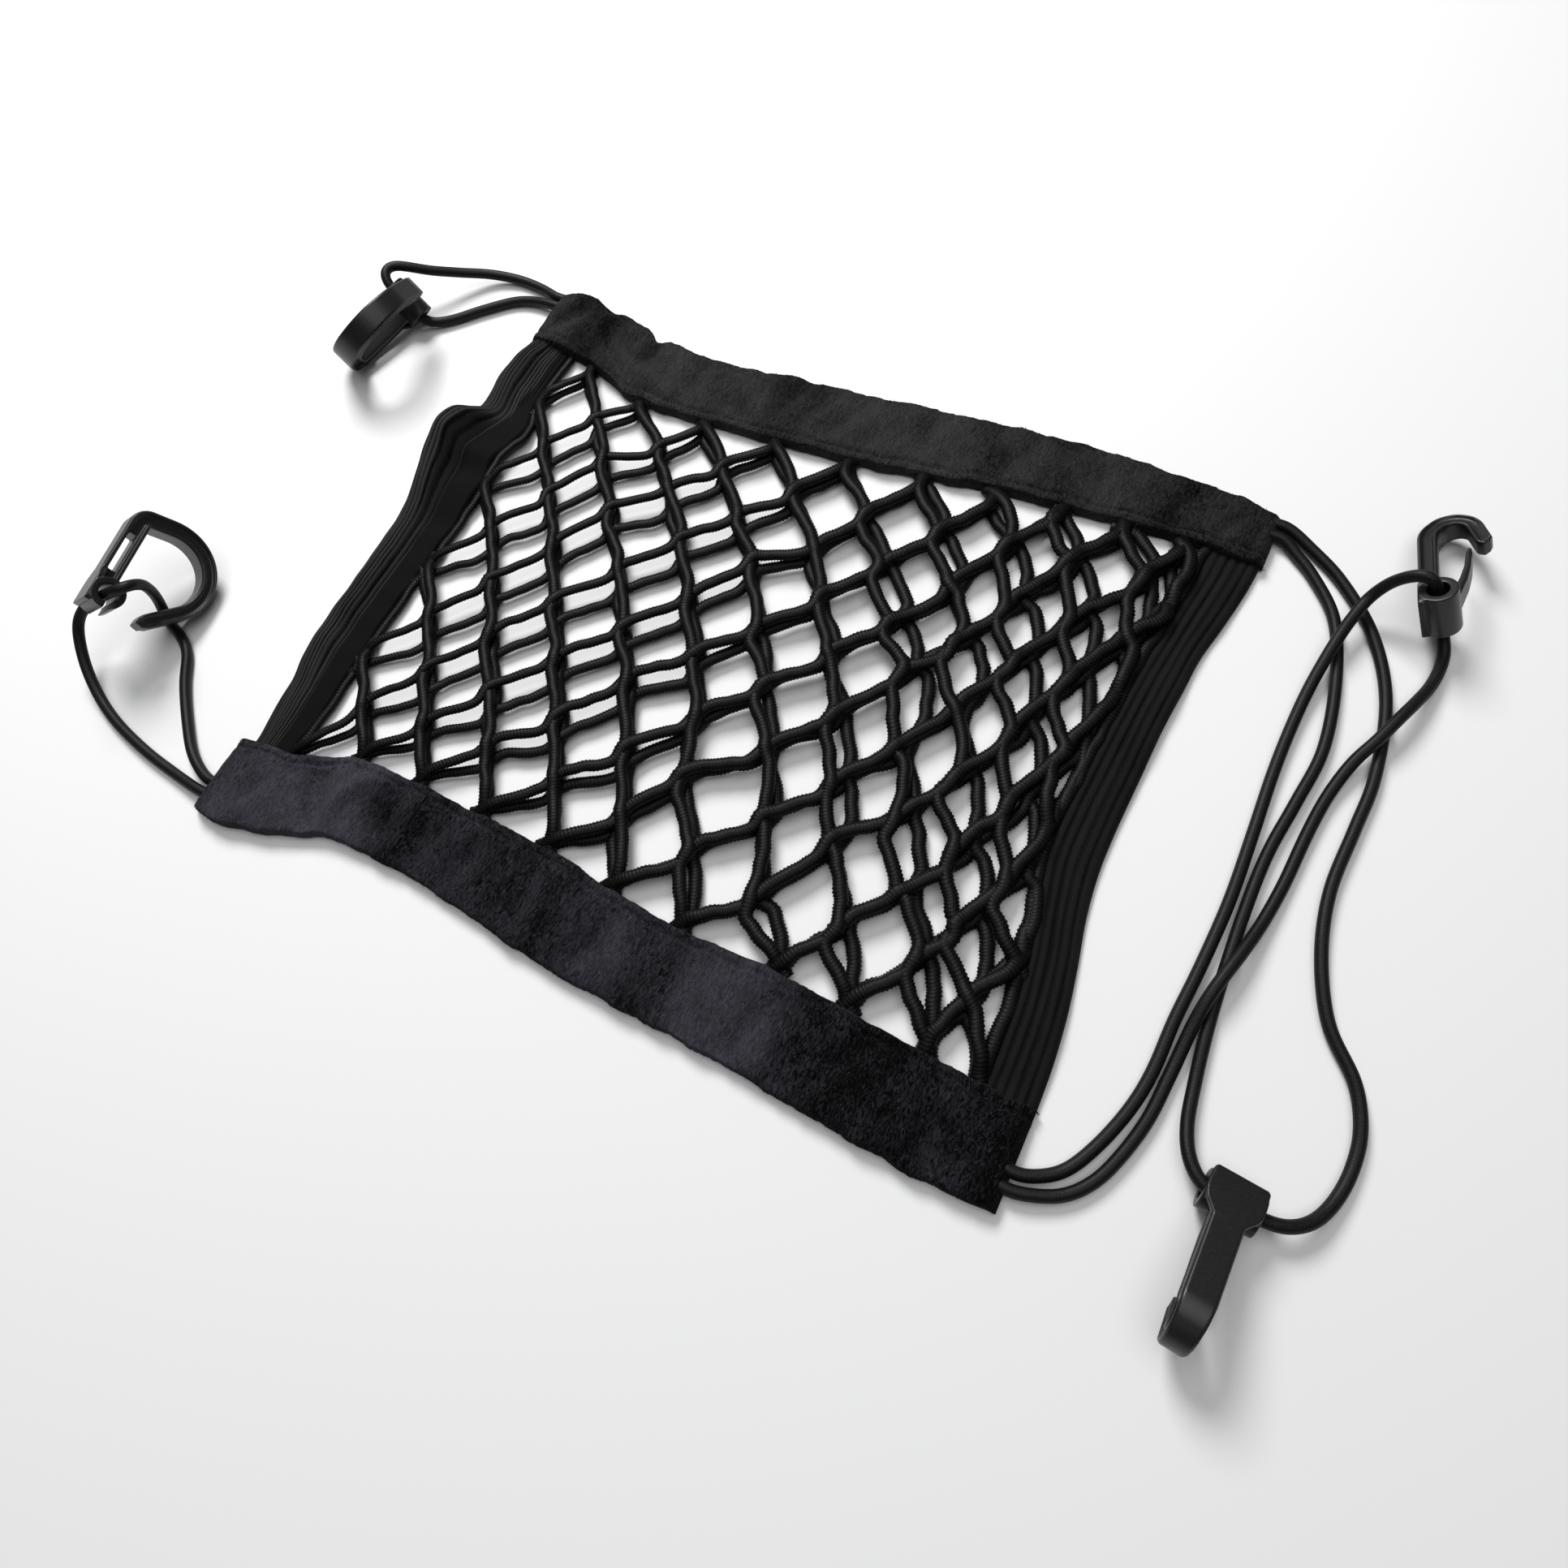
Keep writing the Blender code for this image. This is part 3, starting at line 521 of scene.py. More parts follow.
# Folds pressed into a band. Columns: x, y, turn in degrees, depth, half width, half length
topFolds = [
    (-139, 115, 70, 1.8, 3.5, 11), (-128, 108, 118, 2.6, 4.5, 14), (-121, 118, 60, -1.6, 4, 9),
    (-110, 99, 130, 1.8, 3.2, 12), (-98, 110, 75, 2.2, 3.0, 8), (-92, 97, 155, -1.2, 3, 9),
    (-74, 108, 100, 1.4, 4.0, 12), (-52, 96, 150, 1.1, 3.5, 10), (-33, 112, 80, 1.2, 4, 10),
    (-12, 103, 60, 0.9, 3.5, 11), (22, 115, 100, 1.1, 4, 10), (55, 108, 70, 0.9, 3.5, 12),
    (88, 116, 110, 1.3, 4, 11), (117, 110, 80, 1.4, 3.5, 12), (136, 113, 60, 1.2, 3, 9),
]
bottomFolds = [
    (-133, -115, 70, 1.2, 4, 10), (-112, -106, 115, 2.6, 5, 15), (-98, -100, 60, -1.4, 4, 12),
    (-84, -103, 95, 2.4, 4.5, 13), (-66, -108, 120, 1.3, 4, 10), (-47, -104, 75, 1.6, 4.5, 12),
    (-24, -108, 100, 1.2, 4, 12), (4, -112, 65, 1.3, 4, 12), (34, -108, 110, 1.2, 4.5, 12),
    (63, -115, 80, 1.2, 4, 12), (92, -110, 70, 1.5, 4, 12), (121, -116, 100, 1.5, 4, 12),
]
# Painted sheen from how the pile leans along each band: x, and 0 where it looks black to 1 where it
# looks palest
topSheen = [
    (-150, 0.8), (-140, 0.75), (-130, 0.3), (-122, 0.1), (-114, 0.5), (-104, 0.7), (-80, 0.85),
    (-62, 0.7), (-50, 0.8), (-40, 0.55), (-28, 0.4), (-18, 0.75), (20, 0.8), (30, 0.9), (45, 0.5),
    (60, 0.75), (75, 0.45), (90, 0.8), (105, 0.5), (118, 0.25), (130, 0.6), (150, 0.35),
]
bottomSheen = [
    (-151, 0.5), (-140, 0.85), (-125, 0.85), (-112, 1.0), (-98, 1.0), (-90, 0.8), (-82, 0.35),
    (-72, 0.15), (-64, 0.25), (-58, 0.45), (-48, 0.35), (-35, 0.3), (-8, 0.3), (8, 0.6), (30, 0.35),
    (45, 0.8), (60, 0.8), (68, 0.5), (75, 0.3), (90, 0.15), (105, 0.05), (120, 0.15), (135, 0.15),
    (150, 0.0),
]
fleeceBands = {
    "sheenSpread": 0.22,  # how much the painted sheen varies across a band
    "stationStep": 0.9,  # mm between cross-sections
    "aroundTop": 34,
    "endRound": 2.5,  # mm over which the ends thin out
    "foldScale": 2.1,  # times the depths of the folds above
    "rippleHeight": 0.7,
    "hemWidth": 3.4,  # mm from a band's edge to the seam beside it
    "hemDepth": 0.9,
    "seamWidth": 0.7,  # half the width of the seam's groove, in mm
    "tuftCount": 24000,
    "tuftLength": (0.9, 2.6),
    "tuftWidth": 0.22,
    "seed": 7,
}


# Across a band: share of the width and share of the thickness, once round
def fleeceSection(count):
    bottom = [(0.03, 0.0), (0.2, 0.0), (0.4, 0.0), (0.6, 0.0), (0.8, 0.0), (0.97, 0.0)]
    rise = [(0.992, 0.12), (1.0, 0.3), (1.0, 0.5), (0.993, 0.7)]
    over = []
    for i in range(count + 1):
        turn = math.pi * i / count
        over.append((0.5 + 0.485 * math.cos(turn), 0.76 + 0.2 * max(0.0, math.sin(turn)) ** 0.5))
    return bottom + rise + over + [(0.007, 0.7), (0.0, 0.5), (0.0, 0.3), (0.008, 0.12)]


# Depth of all the folds together at a place
def foldDepth(folds, x, y):
    depth = 0.0
    for foldX, foldY, turn, deep, wide, long in folds:
        turn = math.radians(turn)
        along = (x - foldX) * math.cos(turn) + (y - foldY) * math.sin(turn)
        across = (y - foldY) * math.cos(turn) - (x - foldX) * math.sin(turn)
        depth += deep * math.exp(-(across / wide) ** 2 - (along / long) ** 2)
    return depth


# A doubled band of fleece, with its folds, its ripples and the seam along one edge
def fleeceBand(bandRows, folds, phase, hemAtTop):
    section = fleeceSection(fleeceBands["aroundTop"])
    rows = []
    for x in stations(bandRows, fleeceBands["stationStep"]):
        low, high = between(bandRows, x, 1), between(bandRows, x, 2)
        fromEnd = min(x - bandRows[0][0], bandRows[-1][0] - x)
        rounded = min(1.0, 0.55 + 0.45 * (fromEnd / fleeceBands["endRound"]))
        thick = between(bandRows, x, 3) * rounded
        pinch = 0.6 * (1 - rounded)
        row = []
        for across, height in section:
            y = low + (high - low) * across
            edgeWave = lift = 0.0
            if height > 0.02:
                side = across * 2
                edgeWave = ripple(x / 9, phase, side) + 0.3 * ripple(x / 2.3, phase, side)
            if height > 0.6:
                inside = min(1.0, 5 * across, 5 * (1 - across))
                lift = fleeceBands["rippleHeight"] * (
                    ripple(x / 10, y / 22, phase) + 0.7 * ripple(x / 4.5, y / 8, phase + 5)
                    + 0.35 * ripple(x / 1.8, y / 3.5, phase + 9)
                )
                lift -= fleeceBands["foldScale"] * foldDepth(folds, x, y) * inside
                fromHem = (high - y if hemAtTop else y - low) - fleeceBands["hemWidth"]
                seam = math.exp(-((fromHem / fleeceBands["seamWidth"]) ** 2))
                lift -= fleeceBands["hemDepth"] * seam
            shift = pinch * (0.5 - across)
            row.append(place(x, y + edgeWave + shift, max(offTable, thick * height + lift)))
        rows.append(row)
    return lofted(rows)


# Short raised fibres over the top and edges, each a thin three-sided spike
def tuftsOver(store, seed):
    rng = random.Random(seed)
    verts, faces, _ = store
    corners = [face for face in faces if len(face) == 4]
    sizes = []
    for face in corners:
        a, b, c, d = (verts[i] for i in face)
        underneath = max(a.z, b.z, c.z, d.z) <= mm
        sizes.append(0.0 if underneath else (c - a).cross(d - b).length)
    nap = ([], [], [])
    for face in rng.choices(corners, weights=sizes, k=fleeceBands["tuftCount"]):
        a, b, c, d = (verts[i] for i in face)
        s, t = rng.random(), rng.random()
        root = a.lerp(b, s).lerp(d.lerp(c, s), t)
        out = (b - a).cross(d - a).normalized()
        curl = 0.9 * ripple(root.x / mm / 6, root.y / mm / 6, 3.0)
        lying = Vector((rng.gauss(0.25, 0.35) + curl, -1.0, 0.0))
        lying = (lying - out * lying.dot(out)).normalized()
        length = rng.uniform(*fleeceBands["tuftLength"]) * mm
        aim = (lying + out * rng.uniform(0.08, 0.5)).normalized()
        width = fleeceBands["tuftWidth"] * mm
        side = aim.cross(out).normalized() * width / 2
        root = root - out * 0.1 * mm
        tip = root + aim * length
        tip.z = max(tip.z, 0.1 * mm)
        start = len(nap[0])
        nap[0].extend([root + side, root - side, root + out * width, tip])
        for triangle in ((0, 1, 2), (0, 3, 1), (1, 3, 2), (2, 3, 0)):
            nap[1].append(tuple(start + i for i in triangle))
            nap[2].extend([(0.0, 0.0)] * 3)
    return nap


# Turns a piece's faces to point outwards
def pointOutwards(piece):
    shape = bmesh.new()
    shape.from_mesh(piece.data)
    bmesh.ops.recalc_face_normals(shape, faces=shape.faces)
    shape.to_mesh(piece.data)
    shape.free()


# Stores the painted sheen at each vertex, from how the pile leans, for the fleece's tone
def paintSheen(piece, sheenRows):
    reach = 170  # mm each way from the middle, further than a band's ends
    leans = [between(sheenRows, x, 1) for x in range(-reach, reach + 1)]
    values = []
    for vert in piece.data.vertices:
        x, y = vert.co.x / mm - middleShift[0], vert.co.y / mm - middleShift[1]
        drift = 7 * ripple(x / 25, y / 14, 1.5)
        spread = fleeceBands["sheenSpread"] * ripple(x / 9, y / 12, 6.0)
        values.append(leans[round(x + drift) + reach] + spread)
    attribute = piece.data.attributes.new("pileLeanSheen", "FLOAT", "POINT")
    attribute.data.foreach_set("value", values)


# What every piece is given: its body, and the nodes that it stands for are hidden
def finishPiece(piece, slot, *nodes):
    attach(piece, "root")
    if nodes:
        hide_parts(*nodes)


for name, rows, folds, sheenRows, phase, hemAtTop, fleece, node in (
    ("topFleeceBand", topBand, topFolds, topSheen, 0.4, False, fleeceMaterials[0], "top_band"),
    ("bottomFleeceBand", bottomBand, bottomFolds, bottomSheen, 2.1, True, fleeceMaterials[1],
     "bottom_band"),
):
    store = fleeceBand(rows, folds, phase, hemAtTop)
    band = newPiece(name, store, fleece)
    pointOutwards(band)
    finishPiece(band, "charcoal_fleece", node)
    nap = newPiece(name + "Nap", tuftsOver(store, fleeceBands["seed"]), fleece)
    pointOutwards(nap)
    paintSheen(band, sheenRows)
    paintSheen(nap, sheenRows)
    finishPiece(nap, "charcoal_fleece")
    print(name, "made,", len(band.data.polygons), "faces,", len(nap.data.polygons), "in the nap")
print("fleece bands made")


# Columns: y, outer x, inner x, lift off the table, rise of the fold in it
leftBand = [
    (-101, -146.5, -131, 0, 0.4), (-96, -146.5, -131, 0, 0.4), (-85, -148, -129.5, 0, 0.8),
    (-72, -149.5, -129.5, 0, 1.6), (-58, -152.5, -130, 0, 3.0), (-40, -153, -130.5, 0, 3.6),
    (-20, -153, -130, 0, 3.8), (0, -153.5, -129.5, 0, 4.2), (14, -155.5, -129, 0.4, 6.0),
    (28, -158.5, -129, 1.6, 9.5), (40, -160.4, -130, 2.4, 11.5), (50, -159.3, -128, 2.0, 10.5),
    (56.5, -155.8, -126.5, 1.0, 6.5), (62, -153.2, -128, 0.2, 3.6), (70, -152.8, -130.5, 0, 3.6),
    (80, -153.8, -131, 0, 4.2), (90, -153.5, -131, 0, 4.0), (97.8, -151, -131, 0, 2.6),
    (103, -150, -131, 0, 1.4),
]
rightBand = [
    (-102, 148, 131, 0, 0.3), (-97.5, 148, 131, 0, 0.3), (-85, 147.5, 130.8, 0.6, 0.4),
    (-70, 146, 130, 0.6, 0.5), (-55, 143.5, 128, 0, 0.5), (-40, 140.5, 124.5, 0, 0.5),
    (-25, 138.8, 121.5, 0, 0.5), (-10, 138.6, 121.5, 0, 0.5), (10, 139.3, 122.5, 0.4, 0.5),
    (30, 140, 124, 1.2, 0.5), (45, 141.3, 125, 0.8, 0.6), (60, 142.5, 127, 0, 0.6),
    (75, 145.5, 128.5, 0, 0.5), (90, 148, 130.5, 0, 0.4), (99.8, 149, 131, 0, 0.3),
    (104, 149, 131, 0, 0.3),
]
webbing = {
    "thickness": 3.2,
    "ribs": {"left": 14, "right": 5},
    "ribHeight": {"left": 0.9, "right": 1.0},  # mm from crest to groove
    "pointsPerRib": {"left": 5, "right": 10},
    "ribbedTo": {"left": 0.55, "right": 1.1},  # share of the width, from outside, that is ribbed
    "moreRibs": {"left": 0.35, "right": 0.0},  # the share added near the top end
    "moreFrom": (58, 20),  # y where that starts, and over how many mm it comes in
    "stationStep": 1.2,
    "edge": 0.035,  # share of the width over which an edge is rounded
    "crest": 0.26,  # share of the width at which the fold reaches its crest
    "drop": (0.4, 0.17),  # where it falls away again, and over how much of the width
    "fallen": 0.92,  # share of its rise that it loses there
    "shell": 0.9,  # share of the fold's rise that the underside follows
}


# Height of the fold at a share of the width from the outer edge
def foldRise(fold, share):
    fall = eased((share - webbing["drop"][0]) / webbing["drop"][1])
    return fold * eased(share / webbing["crest"]) * (1 - webbing["fallen"] * fall)


# A band of webbing: flat below, ribbed above, with its fold, its buckles and rounded edges
def webbingBand(bandRows, side, phase):
    thick, edge, perRib = webbing["thickness"], webbing["edge"], webbing["pointsPerRib"][side]
    steps = webbing["ribs"][side] * perRib
    moreFrom, moreOver = webbing["moreFrom"]
    under = [(0.0, 0.45), (0.006, 0.2), (edge, 0.0), (0.12, 0.0), (0.25, 0.0), (0.4, 0.0),
             (0.55, 0.0), (0.75, 0.0), (1 - edge, 0.0), (0.994, 0.2), (1.0, 0.45)]
    rows = []
    for y in stations(bandRows, webbing["stationStep"]):
        outer, inner, lift, fold = (between(bandRows, y, column) for column in (1, 2, 3, 4))
        lift = max(offTable, lift)
        width = inner - outer
        ribbedTo = webbing["ribbedTo"][side]
        ribbedTo += webbing["moreRibs"][side] * eased((y - moreFrom) / moreOver)
        row = []
        for share, height in under:
            z = lift + height * thick + webbing["shell"] * foldRise(fold, share)
            row.append(place(outer + width * share, y, z))
        for k in range(steps + 1):
            share = edge + (1 - 2 * edge) * (1 - k / steps)
            arch = abs(math.sin(math.pi * k / perRib)) ** 0.6
            tall = 0.8 + 0.2 * math.sin(2.3 * (k // perRib) + phase)
            edgeDrop = 0.5 * (1 - math.sin(math.pi * share) ** 0.3)
            bow = 0.25 * lift * math.sin(math.pi * share)
            ribbed = 1 - 0.85 * eased((share - ribbedTo) / 0.08)
            groove = webbing["ribHeight"][side] * tall * (1 - arch) * ribbed
            sway = 0.5 * ripple(y / 16, phase, share)
            buckle = (0.35 + 0.12 * fold) * ripple(y / 9, share * 1.5, phase + 2)
            top = thick - groove - edgeDrop + bow + buckle + foldRise(fold, share)
            row.append(place(outer + width * share, y + sway, lift + top))
        rows.append(row)
    return lofted(rows)


for name, rows, side, phase, node in (
    ("leftWebbing", leftBand, "left", 0.3, "left_band"),
    ("rightWebbing", rightBand, "right", 4.0, "right_band"),
):
    verts, faces, uvs = webbingBand(rows, side, phase)
    length = rows[-1][0] - rows[0][0]
    perRib = webbing["pointsPerRib"][side]
    count = webbing["ribs"][side] * perRib + 12  # points round the band, of which 11 lie under it
    uvs = [(u * length, (v * count - 11) / perRib) for u, v in uvs]
    band = newPiece(name, (verts, faces, uvs), webbingMaterials[side])
    pointOutwards(band)
    finishPiece(band, "black_webbing", node)
    print(name, "made,", len(band.data.polygons), "faces")
print("webbing bands made")


lastColumn, lastRow = 10, 9
# Where a column runs. Columns: column, x at the top row, x half way, x at the bottom row
netColumns = [
    (0, -131, -127, -129), (2, -75, -73, -80), (4, -15, -14, -26), (6, 42, 41, 28),
    (8, 91, 86, 86), (10, 133, 123, 131),
]
# Where a row runs. Columns: row, y at the left, quarter, middle, three-quarter and right
netRows = [
    (0, 95, 87, 89, 101, 101), (3, 33, 35, 31, 32, 35), (6, -30, -27, -28, -35, -42),
    (9, -93, -86, -92, -94, -96),
]
# Knots pulled out of line. Columns: column, row, shift in x, shift in y
pulledKnots = [
    (2, 3, -2, 2), (2, 1, 3, -2), (1.5, 2, -2, 3), (3.5, 6, -1, 3), (4, 3, -1, 4), (4.5, 2, 3, -1),
    (5, 7, -5, 1), (6.5, 4, 1, 6), (6.5, 8, -1, -5), (7, 7, -3, 4), (7.5, 2, -1, -3),
    (8.5, 8, 2, 3), (9, 1, 5, 2), (10, 1, 0, -6), (7, 9, 4, 0), (9, 9, 3, 0),
]
net = {
    # Columns: x, width of a rising strand, of a falling one. They are thin where stretched
    "widths": [(-130, 3.1, 3.9), (-60, 3.8, 4.3), (0, 4.5, 4.6), (130, 4.8, 4.8)],
    "heightShare": 0.72,
    "height": 3.3,
    "offTable": 0.8,
    "knotSwell": 0.12,  # share that a strand is wider at a knot
    "ridge": 0.085,  # share of the width that a ridge stands out
    "lean": 0.25,  # mm that a ridge leans along the strand
    "sides": 8,
    "edgeClear": 2.2,  # mm from a band's edge to the knots beside it
    "tuckIn": 5.0,  # mm that a strand's end runs on under a band
    "tuckHeight": 1.9,  # mm up at that end
    # The pairs hold where the net is stretched, on the left, and where it is slack
    "slackFrom": -30,  # x where it starts to slacken
    "slackOver": 110,
    "sag": (1.8, 1.0),  # mm that a rising strand bows down
    "part": (0.7, 3.1),  # mm that the two layers' falling strands bow apart
    "stray": (1.1, 1.9),  # mm that a bow differs from its neighbours
    "shiver": (0.5, 0.9),  # mm that a strand winds on a shorter scale
    "waist": 0.06,  # share of a cell that a strand holds back from sideways at a knot
    "cross": 0.55,  # mm that one strand passes over the other at a knot
    "backSlip": (4.5, 7.0),  # mm that the back layer slips sideways and down, at the ends
    "slipCentre": 12,  # x where it doesn't slip
    "slipReach": 40,
    "layerRise": 3.4,  # mm from the back layer to the front one
}


# From 0 where the net is stretched to 1 where it is slack
def slackAt(x):
    return min(1.0, max(0.0, (x - net["slackFrom"]) / net["slackOver"]))


def rowHeight(row, column):
    at = [(spot, between(netRows, row, i + 1)) for i, spot in enumerate((0, 2.5, 5, 7.5, 10))]
    return between(at, column, 1)


def columnPlace(row, column):
    t = row / lastRow
    at = [(c, top * (1 - t) * (1 - 2 * t) + half * 4 * t * (1 - t) + bottom * t * (2 * t - 1))
          for c, top, half, bottom in netColumns]
    return between(at, column, 1)


# Where a knot lies: the back layer slips a little, and the outer knots follow the bands' edges
def knotPlace(column, row, back):
    x, y = columnPlace(row, column), rowHeight(row, column)
    for atColumn, atRow, shiftX, shiftY in pulledKnots:
        if (column, row) == (atColumn, atRow):
            x, y = x + shiftX, y + shiftY
    if back:
        slip = math.tanh((x - net["slipCentre"]) / net["slipReach"])
        fade = min(1.0, row / 2, (lastRow - row) / 2)
        x += net["backSlip"][0] * abs(slip) * fade
        y += net["backSlip"][1] * slip * fade
    if column == 0:
        x = between(leftBand, y, 2) + net["edgeClear"]
    if column == lastColumn:
        x = between(rightBand, y, 2) - net["edgeClear"]
    if row == 0:
        y = between(topBand, x, 1) - net["edgeClear"]
    if row == lastRow:
        y = between(bottomBand, x, 2) + net["edgeClear"]
    return x, y


# How far the net rises off the table at a place, in mm
def lie(x, y):
    inside = max(0.0, 1 - (x / 128) ** 2) * max(0.0, 1 - (y / 90) ** 2)
    return inside * (1.0 + 0.8 * math.sin(x / 26 + 0.6) * math.sin(y / 31 + 1.1))


# The knots along each strand that goes down the net, half a column to one side in each row
def strandKeys(step):
    strands = []
    for row in range(lastRow):
        for i in range(2 * lastColumn + 1):
            column = i / 2
            if (i + row) % 2 == 0:
                continue
            before = column - step
            if row > 0 and 0 <= before <= lastColumn:
                continue
            keys = []
            while row + len(keys) <= lastRow and 0 <= column + step * len(keys) <= lastColumn:
                keys.append((column + step * len(keys), row + len(keys)))
            if len(keys) > 1:
                strands.append(keys)
    return strands


# The middle line of a strand through its knots, bowed between them and tucked under the bands
def strandRoute(keys, back, step):
    base = net["height"] / 2 + net["offTable"] + (0 if back else net["layerRise"])
    points = []
    spots = [knotPlace(*key, back) for key in keys]
    for i, (key, (x, y)) in enumerate(zip(keys, spots)):
        over = net["cross"] * (1 if (round(key[1]) % 2 == 0) == (step > 0) else -1)
        points.append((Vector((x, y, base + lie(x, y) + over)), True))
        if i == len(keys) - 1:
            break
        nextX, nextY = spots[i + 1]
        run = math.dist((x, y), (nextX, nextY))
        share = slackAt((x + nextX) / 2)
        wave = blend(net["stray"], share) * scatter(*key, step + back)
        if step < 0:
            wave += blend(net["sag"], share)
        else:
            inStep = 1 if scatter(*key, 5) > -0.5 else -1
            wave += blend(net["part"], share) * (inStep if back else -inStep)
        for at, size in ((0.27, 0.9), (0.73, 0.8 - 0.7 * abs(scatter(key[1], key[0], 8)))):
            bend = net["waist"] * (1 if at < 0.5 else -1)
            midX, midY = x + (nextX - x) * (at - bend), y + (nextY - y) * at
            midX -= wave * size * (nextY - y) / run
            midY += wave * size * (nextX - x) / run
            points.append((Vector((midX, midY, base + lie(midX, midY))), False))
    route = [point for point, _ in points]
    for end, beside in ((0, 1), (-1, -2)):
        onward = (route[end] - route[beside]).normalized() * net["tuckIn"]
        onward.z = 0
        goal = route[end] + onward
        goal.z = net["tuckHeight"]
        route[end].z = (route[end].z + net["tuckHeight"]) / 2
        route.insert(0, goal) if end == 0 else route.append(goal)
    return route, [point for point, isKnot in points if isKnot]


# Adds a wound strand: a ring at each ridge of its yarn and one in each groove between them
def ridgedStrand(store, route, knots, widthColumn, phase):
    points = evenly(route, strandLook["ridgePitch"] / 2, finer=10)
    winding = []
    for point in points:
        x, y = point.x / 6, point.y / 6
        shiver = Vector((ripple(x, y, phase), ripple(x, y, phase + 7), 0))
        winding.append(point + shiver * blend(net["shiver"], slackAt(point.x))
                       + Vector((*middleShift, 0)))
    rings = []
    for i, (point, pointFrame) in enumerate(zip(winding, framesAlong(winding, True))):
        nearest = min(((points[i] - knot).length_squared for knot in knots), default=1e3)
        swell = 1 + net["knotSwell"] * math.exp(-nearest / 9)
        ridge = 1 + (net["ridge"] if i % 2 else -net["ridge"])
        uneven = 1 + 0.06 * ripple(point.x / 4, point.y / 4, phase + 3)
        width = between(net["widths"], point.x, widthColumn) * swell * ridge
        rings.append((point, pointFrame, width * uneven, width * net["heightShare"], net["lean"]))
    addTube(store, rings, net["sides"], strandLook["ridgePitch"] / 2)


for name, back, step, node in (
    ("netFrontRising", False, -0.5, "net_front"), ("netFrontFalling", False, 0.5, "net_front"),
    ("netBackRising", True, -0.5, "net_back"), ("netBackFalling", True, 0.5, "net_back"),
):
    store = ([], [], [])
    for i, keys in enumerate(strandKeys(step)):
        route, knots = strandRoute(keys, back, step)
        ridgedStrand(store, route, knots, 1 if step < 0 else 2, i + (40 if back else 0))
    layer = newPiece(name, store, strandMaterial)
    finishPiece(layer, "elastic_strand", node)
    print(name, "made,", len(store[1]), "faces")


# The strand sewn along the inner edge of each webbing band, in mm
borderStrand = {"fromEdge": 1.0, "sway": 0.6, "up": 2.2, "step": 6}
for name, rows, side in (("leftBorderStrand", leftBand, 1), ("rightBorderStrand", rightBand, -1)):
    store, route = ([], [], []), []
    for y in stations(rows, borderStrand["step"]):
        out = borderStrand["fromEdge"] + borderStrand["sway"] * ripple(y / 11, side, 0.5)
        up = borderStrand["up"] + between(rows, y, 3)
        route.append(Vector((between(rows, y, 2) + side * out, y, up)))
    ridgedStrand(store, route, [], 1, 90 + side)
    strand = newPiece(name, store, strandMaterial)
    finishPiece(strand, "elastic_strand")
    print(name, "made")


# In mm along the strap's middle line, from the barrel to the tip. A bend is (radius, degrees),
# or (None, length) where the strap runs straight. A slot is (start, length), and a tongue ends at
# (distance along the shank, distance out from the barrel's middle). A plate is half of its
# outline, (along the shank, along the barrel)
hookShapes = {
    "large": {
        "barrelRadius": 5.8, "barrelLength": 16, "bore": 3.3, "shank": 29.5, "shankThick": 7.2,
        "bends": [(4, 78), (None, 7.5), (16.5, 145), (None, 12), (6, -30)],
        "tipThick": 5.4, "baseWidth": 11.2, "tipWidth": 8.0, "slot": (9.0, 16.0), "tongue": None,
        "split": True, "plate": [(-5.4, 6.9), (-4.6, 7.7), (3.2, 7.7), (5.2, 7.2), (8.6, 5.3)],
    },
    "small": {
        "barrelRadius": 5.8, "barrelLength": 16, "bore": 3.3, "shank": 31, "shankThick": 6.0,
        "bends": [(8, 40), (None, 1.5), (6.5, 124), (None, 7), (4, -28)],
        "tipThick": 5.0, "baseWidth": 9.2, "tipWidth": 5.6, "slot": None, "tongue": (25, 9),
        "split": False, "plate": [(-5.4, 6.9), (-4.6, 7.7), (3.0, 7.7), (4.9, 7.0), (8.2, 4.3)],
    },
}
# Columns: node, shape, middle of the barrel x and y, turn in degrees
hookPlaces = [
    ("hook_top_left", "large", -207, 94, (50, 5, -105)),
    ("hook_bottom_left", "large", -216, -79, (-125, 0, 100)),
    ("hook_top_right", "small", 204, 98, (155, 15, 100)),
    ("hook_bottom_right", "small", 203, -100, (-90, -20, -95)),
]
hookFinish = {
    "voxel": 0.3,  # mm, the fineness of the rounded form
    "soften": 4,
    "keep": 0.3,  # share of the faces that are left
    "rim": 0.62,  # share of the half thickness from which the rims stand out
    "groove": (1.3, 0.25),  # its depth: at most so many mm, and so much of the half width
    "grooveEnd": 0.15,  # share of the strap over which its grooves run out at the tip
    "taper": (0.88, 0.4),  # where the strap starts to thin at its tip, and the share lost there
    "plateThick": 1.9,  # mm, of the plate along the barrel's back
    "slotSides": (-1.7, 1.1),  # from the middle of the shank
    "splitSides": (0.6, 3.0),  # from the barrel's middle: where the cord snaps in
    "splitDeep": 1.3,  # mm that the split runs on into the bore
}
# Along a tongue: share of its length, thickness, width. Round it: shares of both
tongueSizes = [(0, 3.0, 7.4), (0.35, 2.4, 6.8), (0.6, 2.1, 6.2), (0.9, 1.8, 5.6), (1.0, 1.2, 4.6)]
tongueRound = [(0.5, 0.42), (0.5, -0.42), (0.2, -0.5), (-0.2, -0.5),
               (-0.5, -0.42), (-0.5, 0.42), (-0.2, 0.5), (0.2, 0.5)]


